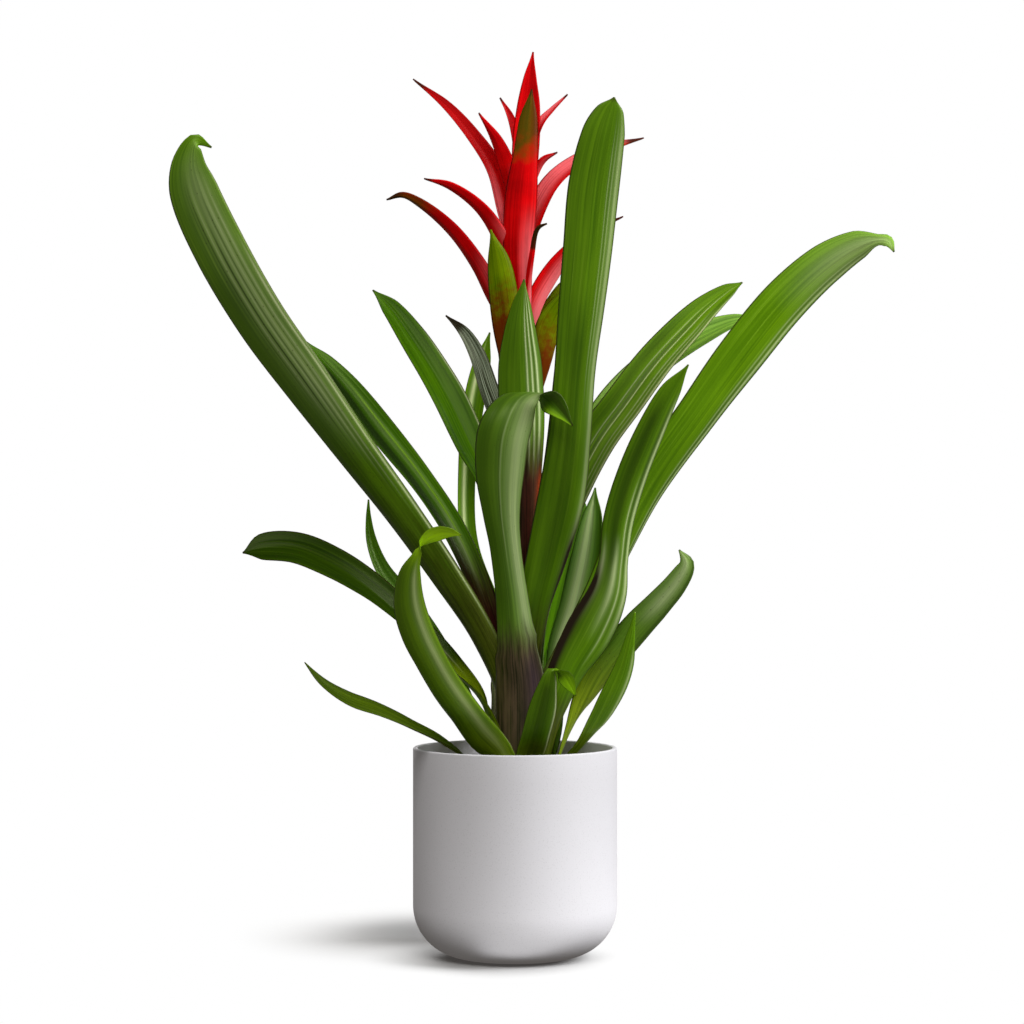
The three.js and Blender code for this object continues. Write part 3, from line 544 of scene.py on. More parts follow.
redBracts = [
    # top spike and the broad front bract
    {"face": [90, 0], "cup": 60, "rows": [
        [5, 2, 480, 14], [7, 4, 535, 19], [9, 5, 563, 16], [10, 5, 582, 9], [12, 5, 599, tipWidth]]},
    {"face": [270, 0], "cup": 70, "rows": [
        [4, -3, 425, 15], [2, -11, 465, 21], [4, -13, 500, 23], [7, -13, 530, 17], [9, -12, 554, 12],
        [11, -11, 572, tipWidth]]},
    # bracts that curve away to the left
    {"face": [120, -10], "cup": 70, "rows": [
        [3, 2, 455, 16], [-6, 8, 492, 17], [-14, 9, 521, 15], [-28, 10, 543, 12], [-46, 11, 564, 8],
        [-68, 12, 582, tipWidth]]},
    {"face": [250, -10], "cup": 70, "rows": [
        [4, -1, 488, 12], [-4, -5, 517, 13], [-12, -6, 538, 9], [-24, -6, 557, tipWidth]]},
    {"face": [100, 0], "cup": 60, "rows": [
        [5, 1, 510, 9], [2, 4, 538, 8], [-3, 6, 556, 5], [-10, 8, 569, tipWidth]]},
    {"face": [240, -30], "cup": 70, "rows": [
        [3, -2, 445, 15], [-12, -8, 477, 14], [-24, -9, 494, 11], [-43, -10, 508, 7],
        [-60, -11, 513, tipWidth]]},
    {"face": [230, -30], "cup": 70, "rows": [
        [3, 0, 404, 15], [-14, -4, 434, 18], [-26, -5, 457, 16], [-43, -4, 480, 13], [-63, -3, 497, 9],
        [-75, -2, 503, 5], [-85, -2, 500, tipWidth]]},
    # bracts that curve away to the right
    {"face": [60, 0], "cup": 60, "rows": [
        [6, 1, 515, 9], [16, 4, 550, 7], [25, 5, 561, 4], [35, 6, 571, tipWidth]]},
    {"face": [300, -20], "cup": 60, "rows": [
        [5, -1, 495, 8], [18, -5, 525, 6], [28, -6, 531, tipWidth]]},
    {"face": [60, -20], "cup": 70, "rows": [
        [5, 1, 460, 16], [14, 6, 491, 17], [25, 9, 512, 16], [41, 11, 526, 13], [62, 13, 536, 9],
        [86, 14, 543, tipWidth]]},
    {"face": [300, -30], "cup": 70, "rows": [
        [5, 0, 402, 15], [14, 2, 431, 17], [23, 4, 448, 17], [34, 5, 463, 14], [52, 7, 480, 8],
        [72, 8, 490, tipWidth]]},
    {"face": [270, 0], "cup": 60, "rows": [
        [7, -4, 432, 5], [11, -11, 462, 4], [15, -15, 480, 3], [21, -16, 483, tipWidth]]},
    # bracts on the far side
    {"face": [110, 0], "cup": 70, "rows": [
        [4, 2, 470, 12], [-4, 16, 500, 13], [-12, 30, 520, 9], [-22, 44, 532, tipWidth]]},
    {"face": [60, 0], "cup": 70, "rows": [
        [5, 2, 445, 12], [8, 17, 480, 13], [11, 32, 505, 9], [13, 48, 520, tipWidth]]},
    {"face": [90, 0], "cup": 70, "rows": [
        [5, 2, 485, 12], [6, 17, 515, 13], [7, 33, 532, 9], [8, 50, 543, tipWidth]]},
    {"face": [110, -10], "cup": 70, "rows": [
        [4, 2, 418, 13], [-3, 20, 445, 14], [-9, 38, 465, 11], [-15, 58, 480, tipWidth]]},
    {"face": [70, -10], "cup": 70, "rows": [
        [5, 2, 410, 13], [6, 21, 440, 14], [7, 40, 458, 11], [8, 60, 470, tipWidth]]},
]


clasp = {
    "plantX": 4,              # the stalk's axis, mm right of the pot's
    "soilDish": 112,          # height of the compost where the leaves come out of it
    "seatGap": 0.3,
    "ringStart": 8.9,         # radius of the innermost ring of sheaths
    "ringStep": 1.5,
    "widest": 165,            # degrees, the most that a sheath goes round the stalk
    "bladeThickness": 1.1,
}


def leafRows(leaf):
    # the sheath opens like a cone about the stalk, and the blade follows it
    rows = []
    lean = math.radians(leaf["lean"])
    foot = clasp["soilDish"] + clasp["seatGap"] + clasp["bladeThickness"] / 2 * math.sin(lean)
    for share in (0, 0.5, 1):
        radius = clasp["ringStart"] + leaf["ring"] * clasp["ringStep"]
        radius = radius + leaf["rise"] * share * math.tan(lean)
        spot = heading(leaf["az"], 0) * radius
        cup = min(math.degrees(leaf["hold"] / radius), clasp["widest"])
        rows.append([clasp["plantX"] + spot.x, spot.y, foot + leaf["rise"] * share, leaf["hold"],
                     leaf["az"], 0, cup])
    return rows + leaf["rows"]


leafFinish = {
    "sectionLength": 4.0,     # mm of blade for each row of faces
    "calmStart": 0.06,        # share of the length past the sheath before ribs and ripples begin
    "blade": {"Strips": 24, "Thickness": 0.75 * mm, "Ribs": 5.0, "Rib height": 0.9 * mm, "Keel": 0.35 * mm,
              "Keel width": 0.12, "Ripple": 1.6 * mm, "Ripple count": 7.0},
    "upper": {"deep": ink(52, 98, 0), "mid": ink(94, 148, 0), "light": ink(136, 178, 10)},
    "under": {"deep": ink(62, 102, 0), "mid": ink(100, 144, 10), "light": ink(144, 178, 60)},
    "feet": {
        "purple": (ink(32, 18, 16), ink(106, 80, 68)),
        "wine": (ink(24, 6, 8), ink(84, 34, 30)),
        "rust": (ink(40, 18, 4), ink(116, 66, 16)),
        "straw": (ink(84, 110, 0), ink(156, 178, 24)),
        "umber": (ink(48, 50, 6), ink(96, 96, 34))},
    # streak tones: pale is partly the leaves' own pale veins and partly painted highlights on flanks and
    # margins that face the lamps; shade is partly dark veins and partly painted shade on flanks turned away
    # from them; the violet tone is a painted gloss highlight
    "streaks": {
        "pale": ink(200, 216, 156), "shade": ink(22, 46, 0), "lime": ink(150, 206, 6),
        "ember": ink(168, 58, 8), "violetSheen": ink(120, 96, 110), "purple": ink(32, 18, 16)},
    "edge": ink(50, 40, 20),
    "tip": ink(52, 40, 20),
    "sheen": (0.90, 1.0, 0.50, 1.0),
    "roughSwing": 0.25,
    "seedSteps": (5.3, 11.0),             # from leaf to leaf, for its shape and for its skin
    # each grain's scale across the blade and to the metre along it, its seed's shift, detail and roughness
    "fine": (30, 9, 0, 2.0, 0.6),
    "line": (12, 7, 31, 2.0, 0.6),
    "broad": (4, 4, 3, 2.0, 0.5),
    "cloud": (1.2, 16, 9, 3.0, 0.5),
    "mottle": (7, 30, 23, 4.0, 0.6),
    "bump": (0.12, 0.4 * mm),
    "veinRange": (0.25, 0.75),            # of the mixed grains, from the deep green to the mid one
    "bleachRange": (0.56, 0.78),
    "bleachStrength": 0.4,
    "glowRange": (0.4, 1.0),              # shares of the length between which the glow, a painted light, grows
    "footRange": (0.35, 0.65),
    "fade": (0.08, 0.05),     # how softly a streak starts and ends, as a share of the length
    "edgeStart": (0.92, 0.98),
    "edgeStrength": 0.7,
    "tipFade": 0.012,
    "tipStrength": 0.85,
    "spotSpread": (9, 300),   # dark spots: how many across the blade and to the metre along it
    "spotSize": (0.12, 0.22),
    "spotShare": (0.80, 0.81),
}

# What sets one leaf's look apart. light is its brightness, partly its own tone and partly painted light and
# shade; glow is how much brighter its outer half is, a painted light. depth and hue change its green, gloss
# its shine. base is the tone of its foot, the height where that begins, how softly, and how strongly. bands
# are streaks along the leaf: tone, place across (-1 to 1), width, strength, and where along the leaf they
# start and end; pale and shade bands are partly its own veins and partly painted highlights and painted
# shade. footBands lie over the foot's tone.
plainLook = {
    "light": 1.0, "glow": 1.0, "depth": 1.0, "hue": 0.5, "base": ("purple", 200, 30, 0.8),
    "spots": 0.0, "rough": 0.36, "gloss": 0.38, "tipFrom": 0.99, "bands": (), "footBands": ()}
leafLooks = {
    "leaf_left_tall": {"glow": 1.15, "base": ("umber", 345, 150, 0.85), "spots": 0.5, "gloss": 0.26,
        # a pale line near the right margin, a painted highlight
        "footBands": (("pale", 0.87, 0.035, 1.1, 0.25, 0.80),),
        "bands": (
            ("pale", 0.30, 0.45, 0.30, 0.55, 0.95), ("pale", 0.63, 0.03, 0.45, 0.45, 0.9),
            ("shade", 0.54, 0.015, 0.5, 0.5, 0.85), ("pale", 0.44, 0.04, 0.45, 0.5, 0.9),
            ("shade", 0.33, 0.02, 0.6, 0.55, 0.9), ("pale", 0.26, 0.02, 0.4, 0.55, 0.85),
            ("shade", 0.12, 0.03, 0.9, 0.55, 0.85), ("pale", 0.0, 0.03, 0.4, 0.6, 0.9),
            ("shade", -0.12, 0.02, 0.6, 0.6, 0.9), ("shade", -0.6, 0.4, 0.4, 0.2, 0.8))},
    "leaf_left_back": {"light": 0.85, "base": ("wine", 290, 70, 1.0), "gloss": 0.18,
        "bands": (
            ("shade", 0.50, 0.5, 1.1, 0.3, 0.95), ("lime", -0.30, 0.04, 0.7, 0.45, 0.85),
            ("pale", -0.15, 0.12, 0.35, 0.36, 0.52))},
    "leaf_left_inner": {"light": 0.80, "base": ("rust", 290, 70, 0.95), "gloss": 0.12,
        "bands": (
            ("pale", -0.93, 0.03, 1.2, 0.40, 0.85), ("shade", -0.4, 0.4, 0.3, 0.3, 0.9))},
    "leaf_front_arched": {
        "light": 0.94, "depth": 0.98, "base": ("purple", 228, 30, 0.9), "spots": 0.3, "gloss": 0.26,
        # on the sheath: a pale right margin and a violet band, both painted highlights
        "footBands": (
            ("pale", 0.95, 0.03, 0.7, 0.0, 0.33), ("violetSheen", 0.5, 0.25, 0.6, 0.05, 0.27)),
        "bands": (
            ("pale", 0.60, 0.30, 0.55, 0.30, 0.9), ("shade", -0.65, 0.5, 0.5, 0.35, 0.9),
            ("shade", -0.05, 0.025, 0.5, 0.55, 0.80), ("pale", 0.02, 0.025, 0.3, 0.5, 0.85),
            ("purple", 0.35, 0.5, 0.75, 0.90, 1.1), ("lime", -0.75, 0.25, 1.3, 0.93, 1.1))},
    "leaf_front_inner": {"light": 0.88, "base": ("wine", 356, 44, 1.0),
        "footBands": (("ember", 0.84, 0.13, 1.6, 0.1, 0.60),),
        "bands": (
            ("pale", 0.30, 0.03, 1.0, 0.6, 0.95), ("pale", 0.50, 0.03, 1.2, 0.6, 0.97),
            ("pale", 0.72, 0.04, 1.2, 0.6, 0.97), ("shade", 0.61, 0.03, 0.6, 0.6, 0.95))},
    "leaf_right_tall": {"light": 0.92, "base": ("wine", 245, 60, 0.85),
        "bands": (
            ("shade", 0.0, 0.35, 0.4, 0.20, 0.7), ("pale", 0.84, 0.08, 0.5, 0.30, 0.97),
            ("pale", 0.50, 0.02, 0.3, 0.6, 0.95), ("pale", 0.64, 0.03, 0.3, 0.6, 0.95),
            ("purple", 0.9, 0.20, 1.3, 0.10, 0.38))},
    "leaf_right_back": {"light": 0.90, "hue": 0.485, "base": ("purple", 230, 40, 0.3), "gloss": 0.2,
        "bands": (
            ("pale", -0.12, 0.02, 1.0, 0.42, 0.97), ("pale", -0.5, 0.03, 0.4, 0.3, 0.9),
            ("pale", -0.68, 0.03, 0.4, 0.3, 0.9), ("pale", -0.9, 0.05, 0.9, 0.3, 0.95),
            ("shade", 0.0, 0.05, 0.6, 0.3, 0.9), ("pale", 0.2, 0.02, 0.6, 0.3, 0.9),
            ("shade", 0.6, 0.3, 0.5, 0.3, 0.85))},
    # its high light is painted light, standing in for light shining through this far leaf
    "leaf_right_far": {"light": 1.8, "depth": 0.9, "hue": 0.488, "base": ("purple", 100, 30, 0.0)},
    "leaf_right_long": {"glow": 1.8, "base": ("purple", 262, 50, 0.5), "gloss": 0.25,
        "bands": (
            ("pale", 0.60, 0.03, 0.4, 0.35, 0.95), ("pale", 0.82, 0.05, 0.7, 0.25, 0.95),
            ("shade", 0.70, 0.04, 0.5, 0.35, 0.9), ("lime", 0.20, 0.05, 0.2, 0.5, 0.95),
            ("purple", 0.9, 0.12, 0.5, 0.2, 0.4), ("pale", 0.1, 0.6, 0.35, 0.86, 1.0))},
    "leaf_right_front": {"light": 1.02, "base": ("umber", 182, 30, 0.8),
        "bands": (
            ("pale", 0.80, 0.10, 0.8, 0.40, 0.9), ("pale", 0.40, 0.04, 0.7, 0.35, 0.7),
            ("pale", -0.75, 0.10, 0.9, 0.44, 0.56), ("shade", -0.3, 0.4, 0.8, 0.5, 0.9),
            ("shade", 0.6, 0.06, 0.6, 0.5, 0.9), ("purple", -0.88, 0.22, 1.4, 0.06, 0.52),
            ("pale", 0.0, 0.12, 0.7, 0.42, 0.56))},
    "leaf_right_low": {"light": 1.1, "depth": 0.95, "base": ("straw", 215, 50, 0.9), "spots": 0.9,
        "bands": (
            ("pale", -0.1, 0.4, 0.5, 0.72, 1.0), ("shade", 0.8, 0.25, 0.6, 0.3, 1.0))},
    "leaf_right_lowest": {"light": 1.15, "base": ("straw", 160, 20, 0.5),
        "bands": (("pale", 0.7, 0.1, 0.5, 0.3, 0.8),)},
    "leaf_front_short": {"light": 0.8, "base": ("straw", 150, 15, 0.4),
        "bands": (
            ("pale", 0.93, 0.06, 1.2, 0.2, 0.75), ("shade", 0.0, 0.5, 0.6, 0.1, 0.7),
            ("lime", 0.0, 1.0, 0.8, 0.84, 1.1))},
    "leaf_left_front": {"light": 1.25, "hue": 0.49, "base": ("straw", 165, 30, 0.5),
        "bands": (
            ("pale", 0.45, 0.16, 0.45, 0.1, 0.8), ("shade", -0.7, 0.4, 0.6, 0.1, 0.8),
            ("lime", 0.0, 1.0, 1.3, 0.86, 1.1))},
    "leaf_left_mid": {
        # its low light is partly its own dark green and partly painted shade on a leaf that faces up into the
        # lamps
        "light": 0.17, "hue": 0.49, "base": ("straw", 205, 30, 0.95), "spots": 0.5, "gloss": 0.07,
        "rough": 0.3,
        "bands": (("pale", -0.4, 0.05, 1.5, 0.32, 0.55),)},
    "leaf_left_low": {
        "light": 0.36, "hue": 0.468, "base": ("straw", 130, 10, 0.2), "rough": 0.5, "gloss": 0.1},
    "leaf_left_small": {"light": 0.7, "base": ("straw", 170, 20, 0.5)},
    "leaf_back_left": {"light": 1.5, "hue": 0.488, "base": ("purple", 200, 30, 0.3),
        "bands": (("pale", 0.3, 0.15, 1.2, 0.3, 0.95),)},
    "leaf_right_short": {"light": 1.7, "base": ("straw", 150, 20, 0.3),
        "bands": (
            ("pale", 0.25, 0.30, 0.9, 0.3, 0.98), ("shade", -0.8, 0.25, 0.9, 0.3, 0.95))},
}


def streak(board, skin, bands, across, place, strands):
    # bands of colour along the blade, broken up into the strands of its veins: its own pale and dark veins,
    # and painted highlights and painted shade
    start, end = leafFinish["fade"]
    for tone, at, width, strength, first, last in bands:
        reach = place.ramp(first - start, first + start) * place.ramp(last + end, last - end)
        amount = across.bell(at, width) * reach * strands * strength
        skin = board.blend(board.math("MINIMUM", amount, 1.0), skin, leafFinish["streaks"][tone])
    return skin


def leafSkin(name, length, look, seed):
    material, board = newMaterial(name)
    across, place, side = (board.attribute(key) for key in ("across", "along", "side"))
    height = board.objectSpot().split()[2]
    station = place * length

    # veins run the whole length, so the grain is long along the blade and short across it
    fine, line, broad, cloud, mottle = (
        board.grain(board.vector(across * wide, station * long, seed + shift), 1.0, detail, roughness)
        for wide, long, shift, detail, roughness in
        (leafFinish[key] for key in ("fine", "line", "broad", "cloud", "mottle")))
    veins = (line * 0.5 + fine * 0.2 + broad * 0.5 + cloud * 0.4 - 0.3).ramp(*leafFinish["veinRange"])
    bleached = (line * 0.7 + fine * 0.3).ramp(*leafFinish["bleachRange"]) * leafFinish["bleachStrength"]
    strands = 0.4 + line * 0.7 + fine * 0.4
    faces = []
    for key in ("upper", "under"):
        tones = leafFinish[key]
        green = board.blend(veins, tones["deep"], tones["mid"])
        faces.append(board.blend(bleached, green, tones["light"]))
    skin = board.blend(side.ramp(-0.4, 0.4), *faces)
    # streaks, partly its own veins and partly painted highlights and painted shade
    skin = streak(board, skin, look["bands"], across, place, strands)
    # its brightness, partly its own tone and partly painted light and shade, with painted light brightening
    # its outer half
    light = look["light"] * (1 + (look["glow"] - 1) * place.ramp(*leafFinish["glowRange"]))
    skin = board.add("ShaderNodeHueSaturation", {},
                     {"Hue": look["hue"], "Saturation": look["depth"], "Value": light, "Color": skin})

    # the foot's own tone, mottled where it fades into green
    tone, top, soft, strength = look["base"]
    foot = (height + (mottle - 0.5) * soft * mm).ramp(top * mm, (top - soft) * mm)
    patches = (mottle * 0.5 + fine * 0.5).ramp(*leafFinish["footRange"])
    skin = board.blend(foot * strength, skin, board.blend(patches, *leafFinish["feet"][tone]))
    skin = streak(board, skin, look["footBands"], across, place, strands)

    # thin darker margins, a dried point and small spots
    margin = abs(across).ramp(*leafFinish["edgeStart"]) * leafFinish["edgeStrength"]
    skin = board.blend(margin, skin, leafFinish["edge"])
    dry, fade = look["tipFrom"], leafFinish["tipFade"]
    point = (place + (mottle - 0.5) * fade).ramp(dry, dry + fade)
    skin = board.blend(point * leafFinish["tipStrength"], skin, leafFinish["tip"])
    if look["spots"]:
        wide, long = leafFinish["spotSpread"]
        cells = board.add("ShaderNodeTexVoronoi", output="Distance", inputs={
            "Vector": board.vector(across * wide, station * long, seed), "Scale": 1.0})
        chosen = cells.out("Color").split()[0].ramp(*leafFinish["spotShare"])
        spots = (1 - cells.ramp(*leafFinish["spotSize"])) * chosen * look["spots"]
        skin = board.blend(spots, skin, leafFinish["tip"])

    rough = unevenRough((look["rough"], leafFinish["roughSwing"]), fine * 0.5 + line * 0.5)
    board.finish({"Base Color": skin, "Roughness": rough, "Specular IOR Level": look["gloss"],
                  "Specular Tint": leafFinish["sheen"],
                  "Normal": board.bump(fine * 0.1 + line * 0.5 + broad * 0.4, *leafFinish["bump"])})
    return material


def buildLeaf(number, name, leaf):
    rows = leafRows(leaf)
    length = pathLength(rows)
    seed, skinSeed = (number * step for step in leafFinish["seedSteps"])
    look = {**plainLook, **leafLooks.get(name, {})}
    piece = pathObject(name + "_blade", rows, leaf.get("nicks", ()))
    slotName = next(part["material_slot"] for part in frame["record"]["subparts"] if part["node"] == name)
    runNodes(piece, bladeTree, {
        **leafFinish["blade"], "Sections": round(length / leafFinish["sectionLength"]),
        "Flat until": leaf["rise"] / length + leafFinish["calmStart"], "Seed": seed,
        "Look": (0.0, 0.0, 0.0), "Material": leafSkin(name + "_skin", length * mm, look, skinSeed)})
    handOver(piece, slotName, name)


for number, (name, leaf) in enumerate(leafShapes.items()):
    buildLeaf(number, name, leaf)
print("leaves grown:", len(leafShapes))


bractFinish = {
    "sectionLength": 2.5,
    "leastSections": 12,
    "blade": {"Strips": 12, "Thickness": 0.7 * mm, "Ribs": 3.0, "Rib height": 0.4 * mm, "Keel": 0.5 * mm,
              "Keel width": 0.12, "Ripple": 0.6 * mm, "Ripple count": 4.0, "Flat until": 0.1},
    # the red bract's last tone is a painted pink highlight; the green bract's last tone is its own red-brown
    # foot
    "red": {
        "deep": ink(172, 0, 3), "mid": ink(236, 2, 8), "pale": ink(250, 110, 112),
        "blushAndSheen": ink(255, 120, 126)},
    "green": {
        "deep": ink(66, 96, 0), "mid": ink(128, 156, 0), "pale": ink(160, 182, 60),
        "blushAndSheen": ink(110, 20, 4)},
    "olive": ink(62, 80, 4),
    "umber": ink(64, 26, 8),
    "maroon": ink(84, 0, 0),
    "dull": ink(50, 58, 40),
    "chalk": ink(176, 190, 160),
    "tip": ink(36, 26, 8),
    # grains: scale, detail and roughness. fine has two scales, across the bract and along it.
    "fine": (14, 1.5, 3.0, 0.6),
    "cloud": (60.0, 3.0),
    "mottle": (170.0, 4.0, 0.65),
    "sheen": (1.0, 0.30, 0.30, 1.0),
    "rough": (0.40, 0.2),
    "gloss": 0.11,
    "bump": (0.04, 0.3 * mm),
    "seedStep": 3.7,
    "toneRange": (0.3, 0.7),              # of the mixed grains, from the deep tone to the mid one
    "paleRange": (0.55, 0.8),
    "paleStrength": 0.04,
    "strandRange": (0.15, 0.55),
    "sheenFlank": (-0.8, 0.4),             # places across a red bract between which its painted pink highlight grows
    "redFootSheen": ((0.52, 0.18), (-0.2, 0.7)),       # the painted pink highlight at its foot: places along and across
    "greenFoot": (0.78, 0.40),
    "stripeRange": (0.42, 0.62),
    "blushAndSheenStrength": 0.9,
    "ripeRange": (0.67, 0.82),            # shares of the length between which olive sets in
    "ripeFlank": (-0.2, 0.8),
    "tipFade": 0.05,
    "tipStrength": 0.9,
    "edgeStart": (0.90, 0.99),
    "edgeStrength": 0.5,
}

# By a bract's place in its list: how far its dark tip reaches down, how olive its outer half is (below 0:
# striped in chalky gray), and a third value: on a red bract, the strength of a painted pink highlight on its
# right flank (below 0: darker instead), and on a green one, the red-brown of its own foot. Any other bract
# looks like plainBract.
plainBract = (0.05, 0.0, 0.0)
bractLooks = {
    "red": {
        0: (0.03, 0.0, 0.0), 1: (0.05, 1.0, 0.0), 2: (0.09, 0.0, -0.5), 4: (0.08, 0.0, 0.1),
        5: (0.08, 0.0, 0.0), 6: (0.10, 0.8, -0.08), 7: (0.08, 0.0, 0.8), 8: (0.08, 0.0, 0.3),
        9: (0.12, 0.3, 0.9), 10: (0.14, 0.1, 1.0), 11: (0.4, 1.0, 0.0)},
    "green": {
        0: (0.0, 0.2, 1.1), 1: (0.0, 0.2, 1.0), 2: (0.0, 0.0, 0.6), 3: (0.14, -1.0, 0.0),
        4: (0.0, 0.0, 0.4), 5: (0.0, 0.0, 1.6), 6: (0.0, 0.0, 1.2), 7: (0.0, 0.0, 1.2)},
}


def bractSkin(name, kind):
    finish = bractFinish
    tones = finish[kind]
    material, board = newMaterial(name)
    across, place = board.attribute("across"), board.attribute("along")
    tipReach, olive, blushAndSheen = board.attribute("look", "Vector").split()
    spot = board.objectSpot()
    wide, long, detail, roughness = finish["fine"]
    # another grain for each look
    fine = board.vector(across * wide, place * long, olive * 40 + blushAndSheen * 9)
    fine = board.grain(fine, 1.0, detail, roughness)
    cloud = board.grain(spot, *finish["cloud"])
    skin = board.blend((fine * 0.6 + cloud * 0.4).ramp(*finish["toneRange"]), tones["deep"], tones["mid"])
    skin = board.blend(fine.ramp(*finish["paleRange"]) * finish["paleStrength"], skin, tones["pale"])
    if kind == "red":
        # a painted pink highlight on the right flank, as strong as the bract's look sets, and on the right
        # side of its foot
        strands = fine.ramp(*finish["strandRange"])
        footAlong, footAcross = finish["redFootSheen"]
        blushAndSheenMask = board.math("MAXIMUM", blushAndSheen, 0.0) * across.ramp(*finish["sheenFlank"]) * strands
        blushAndSheenMask = blushAndSheenMask + place.ramp(*footAlong) * across.ramp(*footAcross) * strands
        skin = board.blend(board.math("MAXIMUM", blushAndSheen * -1, 0.0), skin, finish["maroon"])
    else:
        mottle = board.grain(spot, *finish["mottle"])
        blushAndSheenMask = blushAndSheen * (place + (mottle - 0.5) * 0.5).ramp(*finish["greenFoot"])
        striped = board.blend(fine.ramp(*finish["stripeRange"]), finish["dull"], finish["chalk"])
        skin = board.blend(board.math("MAXIMUM", olive * -1, 0.0), skin, striped)
    skin = board.blend(board.math("MINIMUM", blushAndSheenMask, 1.0) * finish["blushAndSheenStrength"], skin, tones["blushAndSheen"])
    ripe = board.math("MAXIMUM", olive, 0.0) * (place + (cloud - 0.5) * 0.40).ramp(*finish["ripeRange"])
    ripeColor = board.blend(across.ramp(*finish["ripeFlank"]) * 0.7, finish["olive"], finish["umber"])
    skin = board.blend(ripe * (0.7 + fine * 0.4), skin, ripeColor)
    tip = (place + tipReach + (fine - 0.5) * 0.08 - 1).ramp(0.0, finish["tipFade"])
    skin = board.blend(tip * finish["tipStrength"], skin, finish["tip"])
    margin = abs(across).ramp(*finish["edgeStart"]) * finish["edgeStrength"]
    skin = board.blend(margin, skin, finish["maroon"])
    board.finish({"Base Color": skin, "Roughness": unevenRough(finish["rough"], fine),
                  "Specular IOR Level": finish["gloss"], "Specular Tint": finish["sheen"],
                  "Normal": board.bump(fine, *finish["bump"])})
    return material


def buildBracts(kind, bracts, material):
    finish = bractFinish
    pieces = []
    for number, bract in enumerate(bracts):
        rows = [row + bract["face"] + [bract["cup"]] for row in bract["rows"]]
        piece = pathObject("%s_bract_%d" % (kind, number), rows)
        sections = max(finish["leastSections"], round(pathLength(rows) / finish["sectionLength"]))
        runNodes(piece, bladeTree, {
            **finish["blade"], "Sections": sections, "Seed": number * finish["seedStep"],
            "Look": bractLooks[kind].get(number, plainBract), "Material": material})
        pieces.append(piece)
    return pieces


def lathe(name, profile, sides, x, material):
    # a closed turned mesh about the upright line at x; its profile, in mm, starts and ends on that line
    mesh = bpy.data.meshes.new(name)
    body = bmesh.new()
    turns = [2 * math.pi * k / sides for k in range(sides)]
    rings = []
    for radius, height in profile:
        ring = turns if radius else [0]
        spots = [(x + radius * math.cos(a), radius * math.sin(a), height) for a in ring]
        rings.append([body.verts.new(Vector(spot) * mm) for spot in spots])
    for lower, upper in zip(rings, rings[1:]):
        for k in range(sides):
            corners = [lower[k % len(lower)], lower[(k + 1) % len(lower)],
                       upper[(k + 1) % len(upper)], upper[k % len(upper)]]
            body.faces.new(list(dict.fromkeys(corners)))
    bmesh.ops.recalc_face_normals(body, faces=body.faces)
    body.to_mesh(mesh)
    body.free()
    mesh.shade_smooth()
    mesh.materials.append(material)
    return makeObject(name, mesh)


def arcPoints(x, z, radius, start, end, steps):
    turns = [math.radians(start + (end - start) * k / steps) for k in range(steps + 1)]
    return [(x + radius * math.cos(a), z + radius * math.sin(a)) for a in turns]


# the stalk and its green bracts
stalkShape = {
    "foot": 90, "thick": 7.8, "thin": 5.0, "top": 392,
    "taperFrom": 180, "taperLength": 60, "taperSteps": 12, "sides": 48,
    "bark": (ink(38, 22, 24), ink(92, 64, 40)),
    "streaks": (260, 18),     # to the metre, round the stalk and along it
    "rough": (0.45, 0.2),
    "bump": (0.3, 0.4 * mm),
}


def stalkSkin():
    material, board = newMaterial("stalk_skin")
    x, y, z = board.objectSpot().split()
    wide, long = stalkShape["streaks"]
    streaks = board.grain(board.vector(x * wide, y * wide, z * long), 1.0, 3.0)
    board.finish({"Base Color": board.blend(streaks.ramp(0.3, 0.7), *stalkShape["bark"]),
                  "Roughness": unevenRough(stalkShape["rough"], streaks),
                  "Normal": board.bump(streaks, *stalkShape["bump"])})
    return material


def buildStalk():
    shape = stalkShape
    profile = [(0, shape["foot"]), (shape["thick"], shape["foot"])]
    for k in range(shape["taperSteps"] + 1):
        share = k / shape["taperSteps"]
        eased = 3 * share ** 2 - 2 * share ** 3
        profile.append((shape["thick"] + (shape["thin"] - shape["thick"]) * eased,
                        shape["taperFrom"] + shape["taperLength"] * share))
    profile += [(shape["thin"], shape["top"]), (0, shape["top"])]
    stem = lathe("stem", profile, shape["sides"], clasp["plantX"], stalkSkin())
    bracts = buildBracts("green", greenBracts, bractSkin("green_bract_skin", "green"))
    handOver(joinPieces("stalk_with_bracts", [stem] + bracts), "stalk_green", "stalk")


# the core that the red bracts grow from: radius and height, mm
headShape = {"sides": 32, "profile": [(0, 392.3), (6.5, 392.3), (6.5, 490), (1.5, 520), (0, 520)]}


def buildHead():
    skin = bractSkin("red_bract_skin", "red")
    core = lathe("core", headShape["profile"], headShape["sides"], clasp["plantX"], skin)
    bracts = buildBracts("red", redBracts, skin)
    handOver(joinPieces("flower_head_bracts", [core] + bracts), "bract_red", "flower_head")


buildStalk()
buildHead()
print("stalk and flower head grown:", len(greenBracts), "green and", len(redBracts), "red bracts")


# the pot
potShape = {
    "radius": 67.5, "height": 138, "wall": 3.2, "floor": 5, "corner": 34, "foot": 30, "rim": 1.0,
    "insideFoot": 26, "wallHeights": (60, 90, 120), "sides": 160,
    "cornerArc": (-84, 0, 28), "insideArc": (0, -80, 12), "rimSteps": 5,      # degrees and steps
    "glaze": ink(215, 214, 218), "fleck": ink(186, 185, 188),
    "fleckScale": 1300.0, "cloudScale": 30.0, "pitScale": 1400.0,
    "fleckStrength": 0.4, "cloudStrength": 0.08,
    "rough": (0.62, 0.15),
    "bump": (0.25, 0.2 * mm),
    "gloss": 0.4,
}


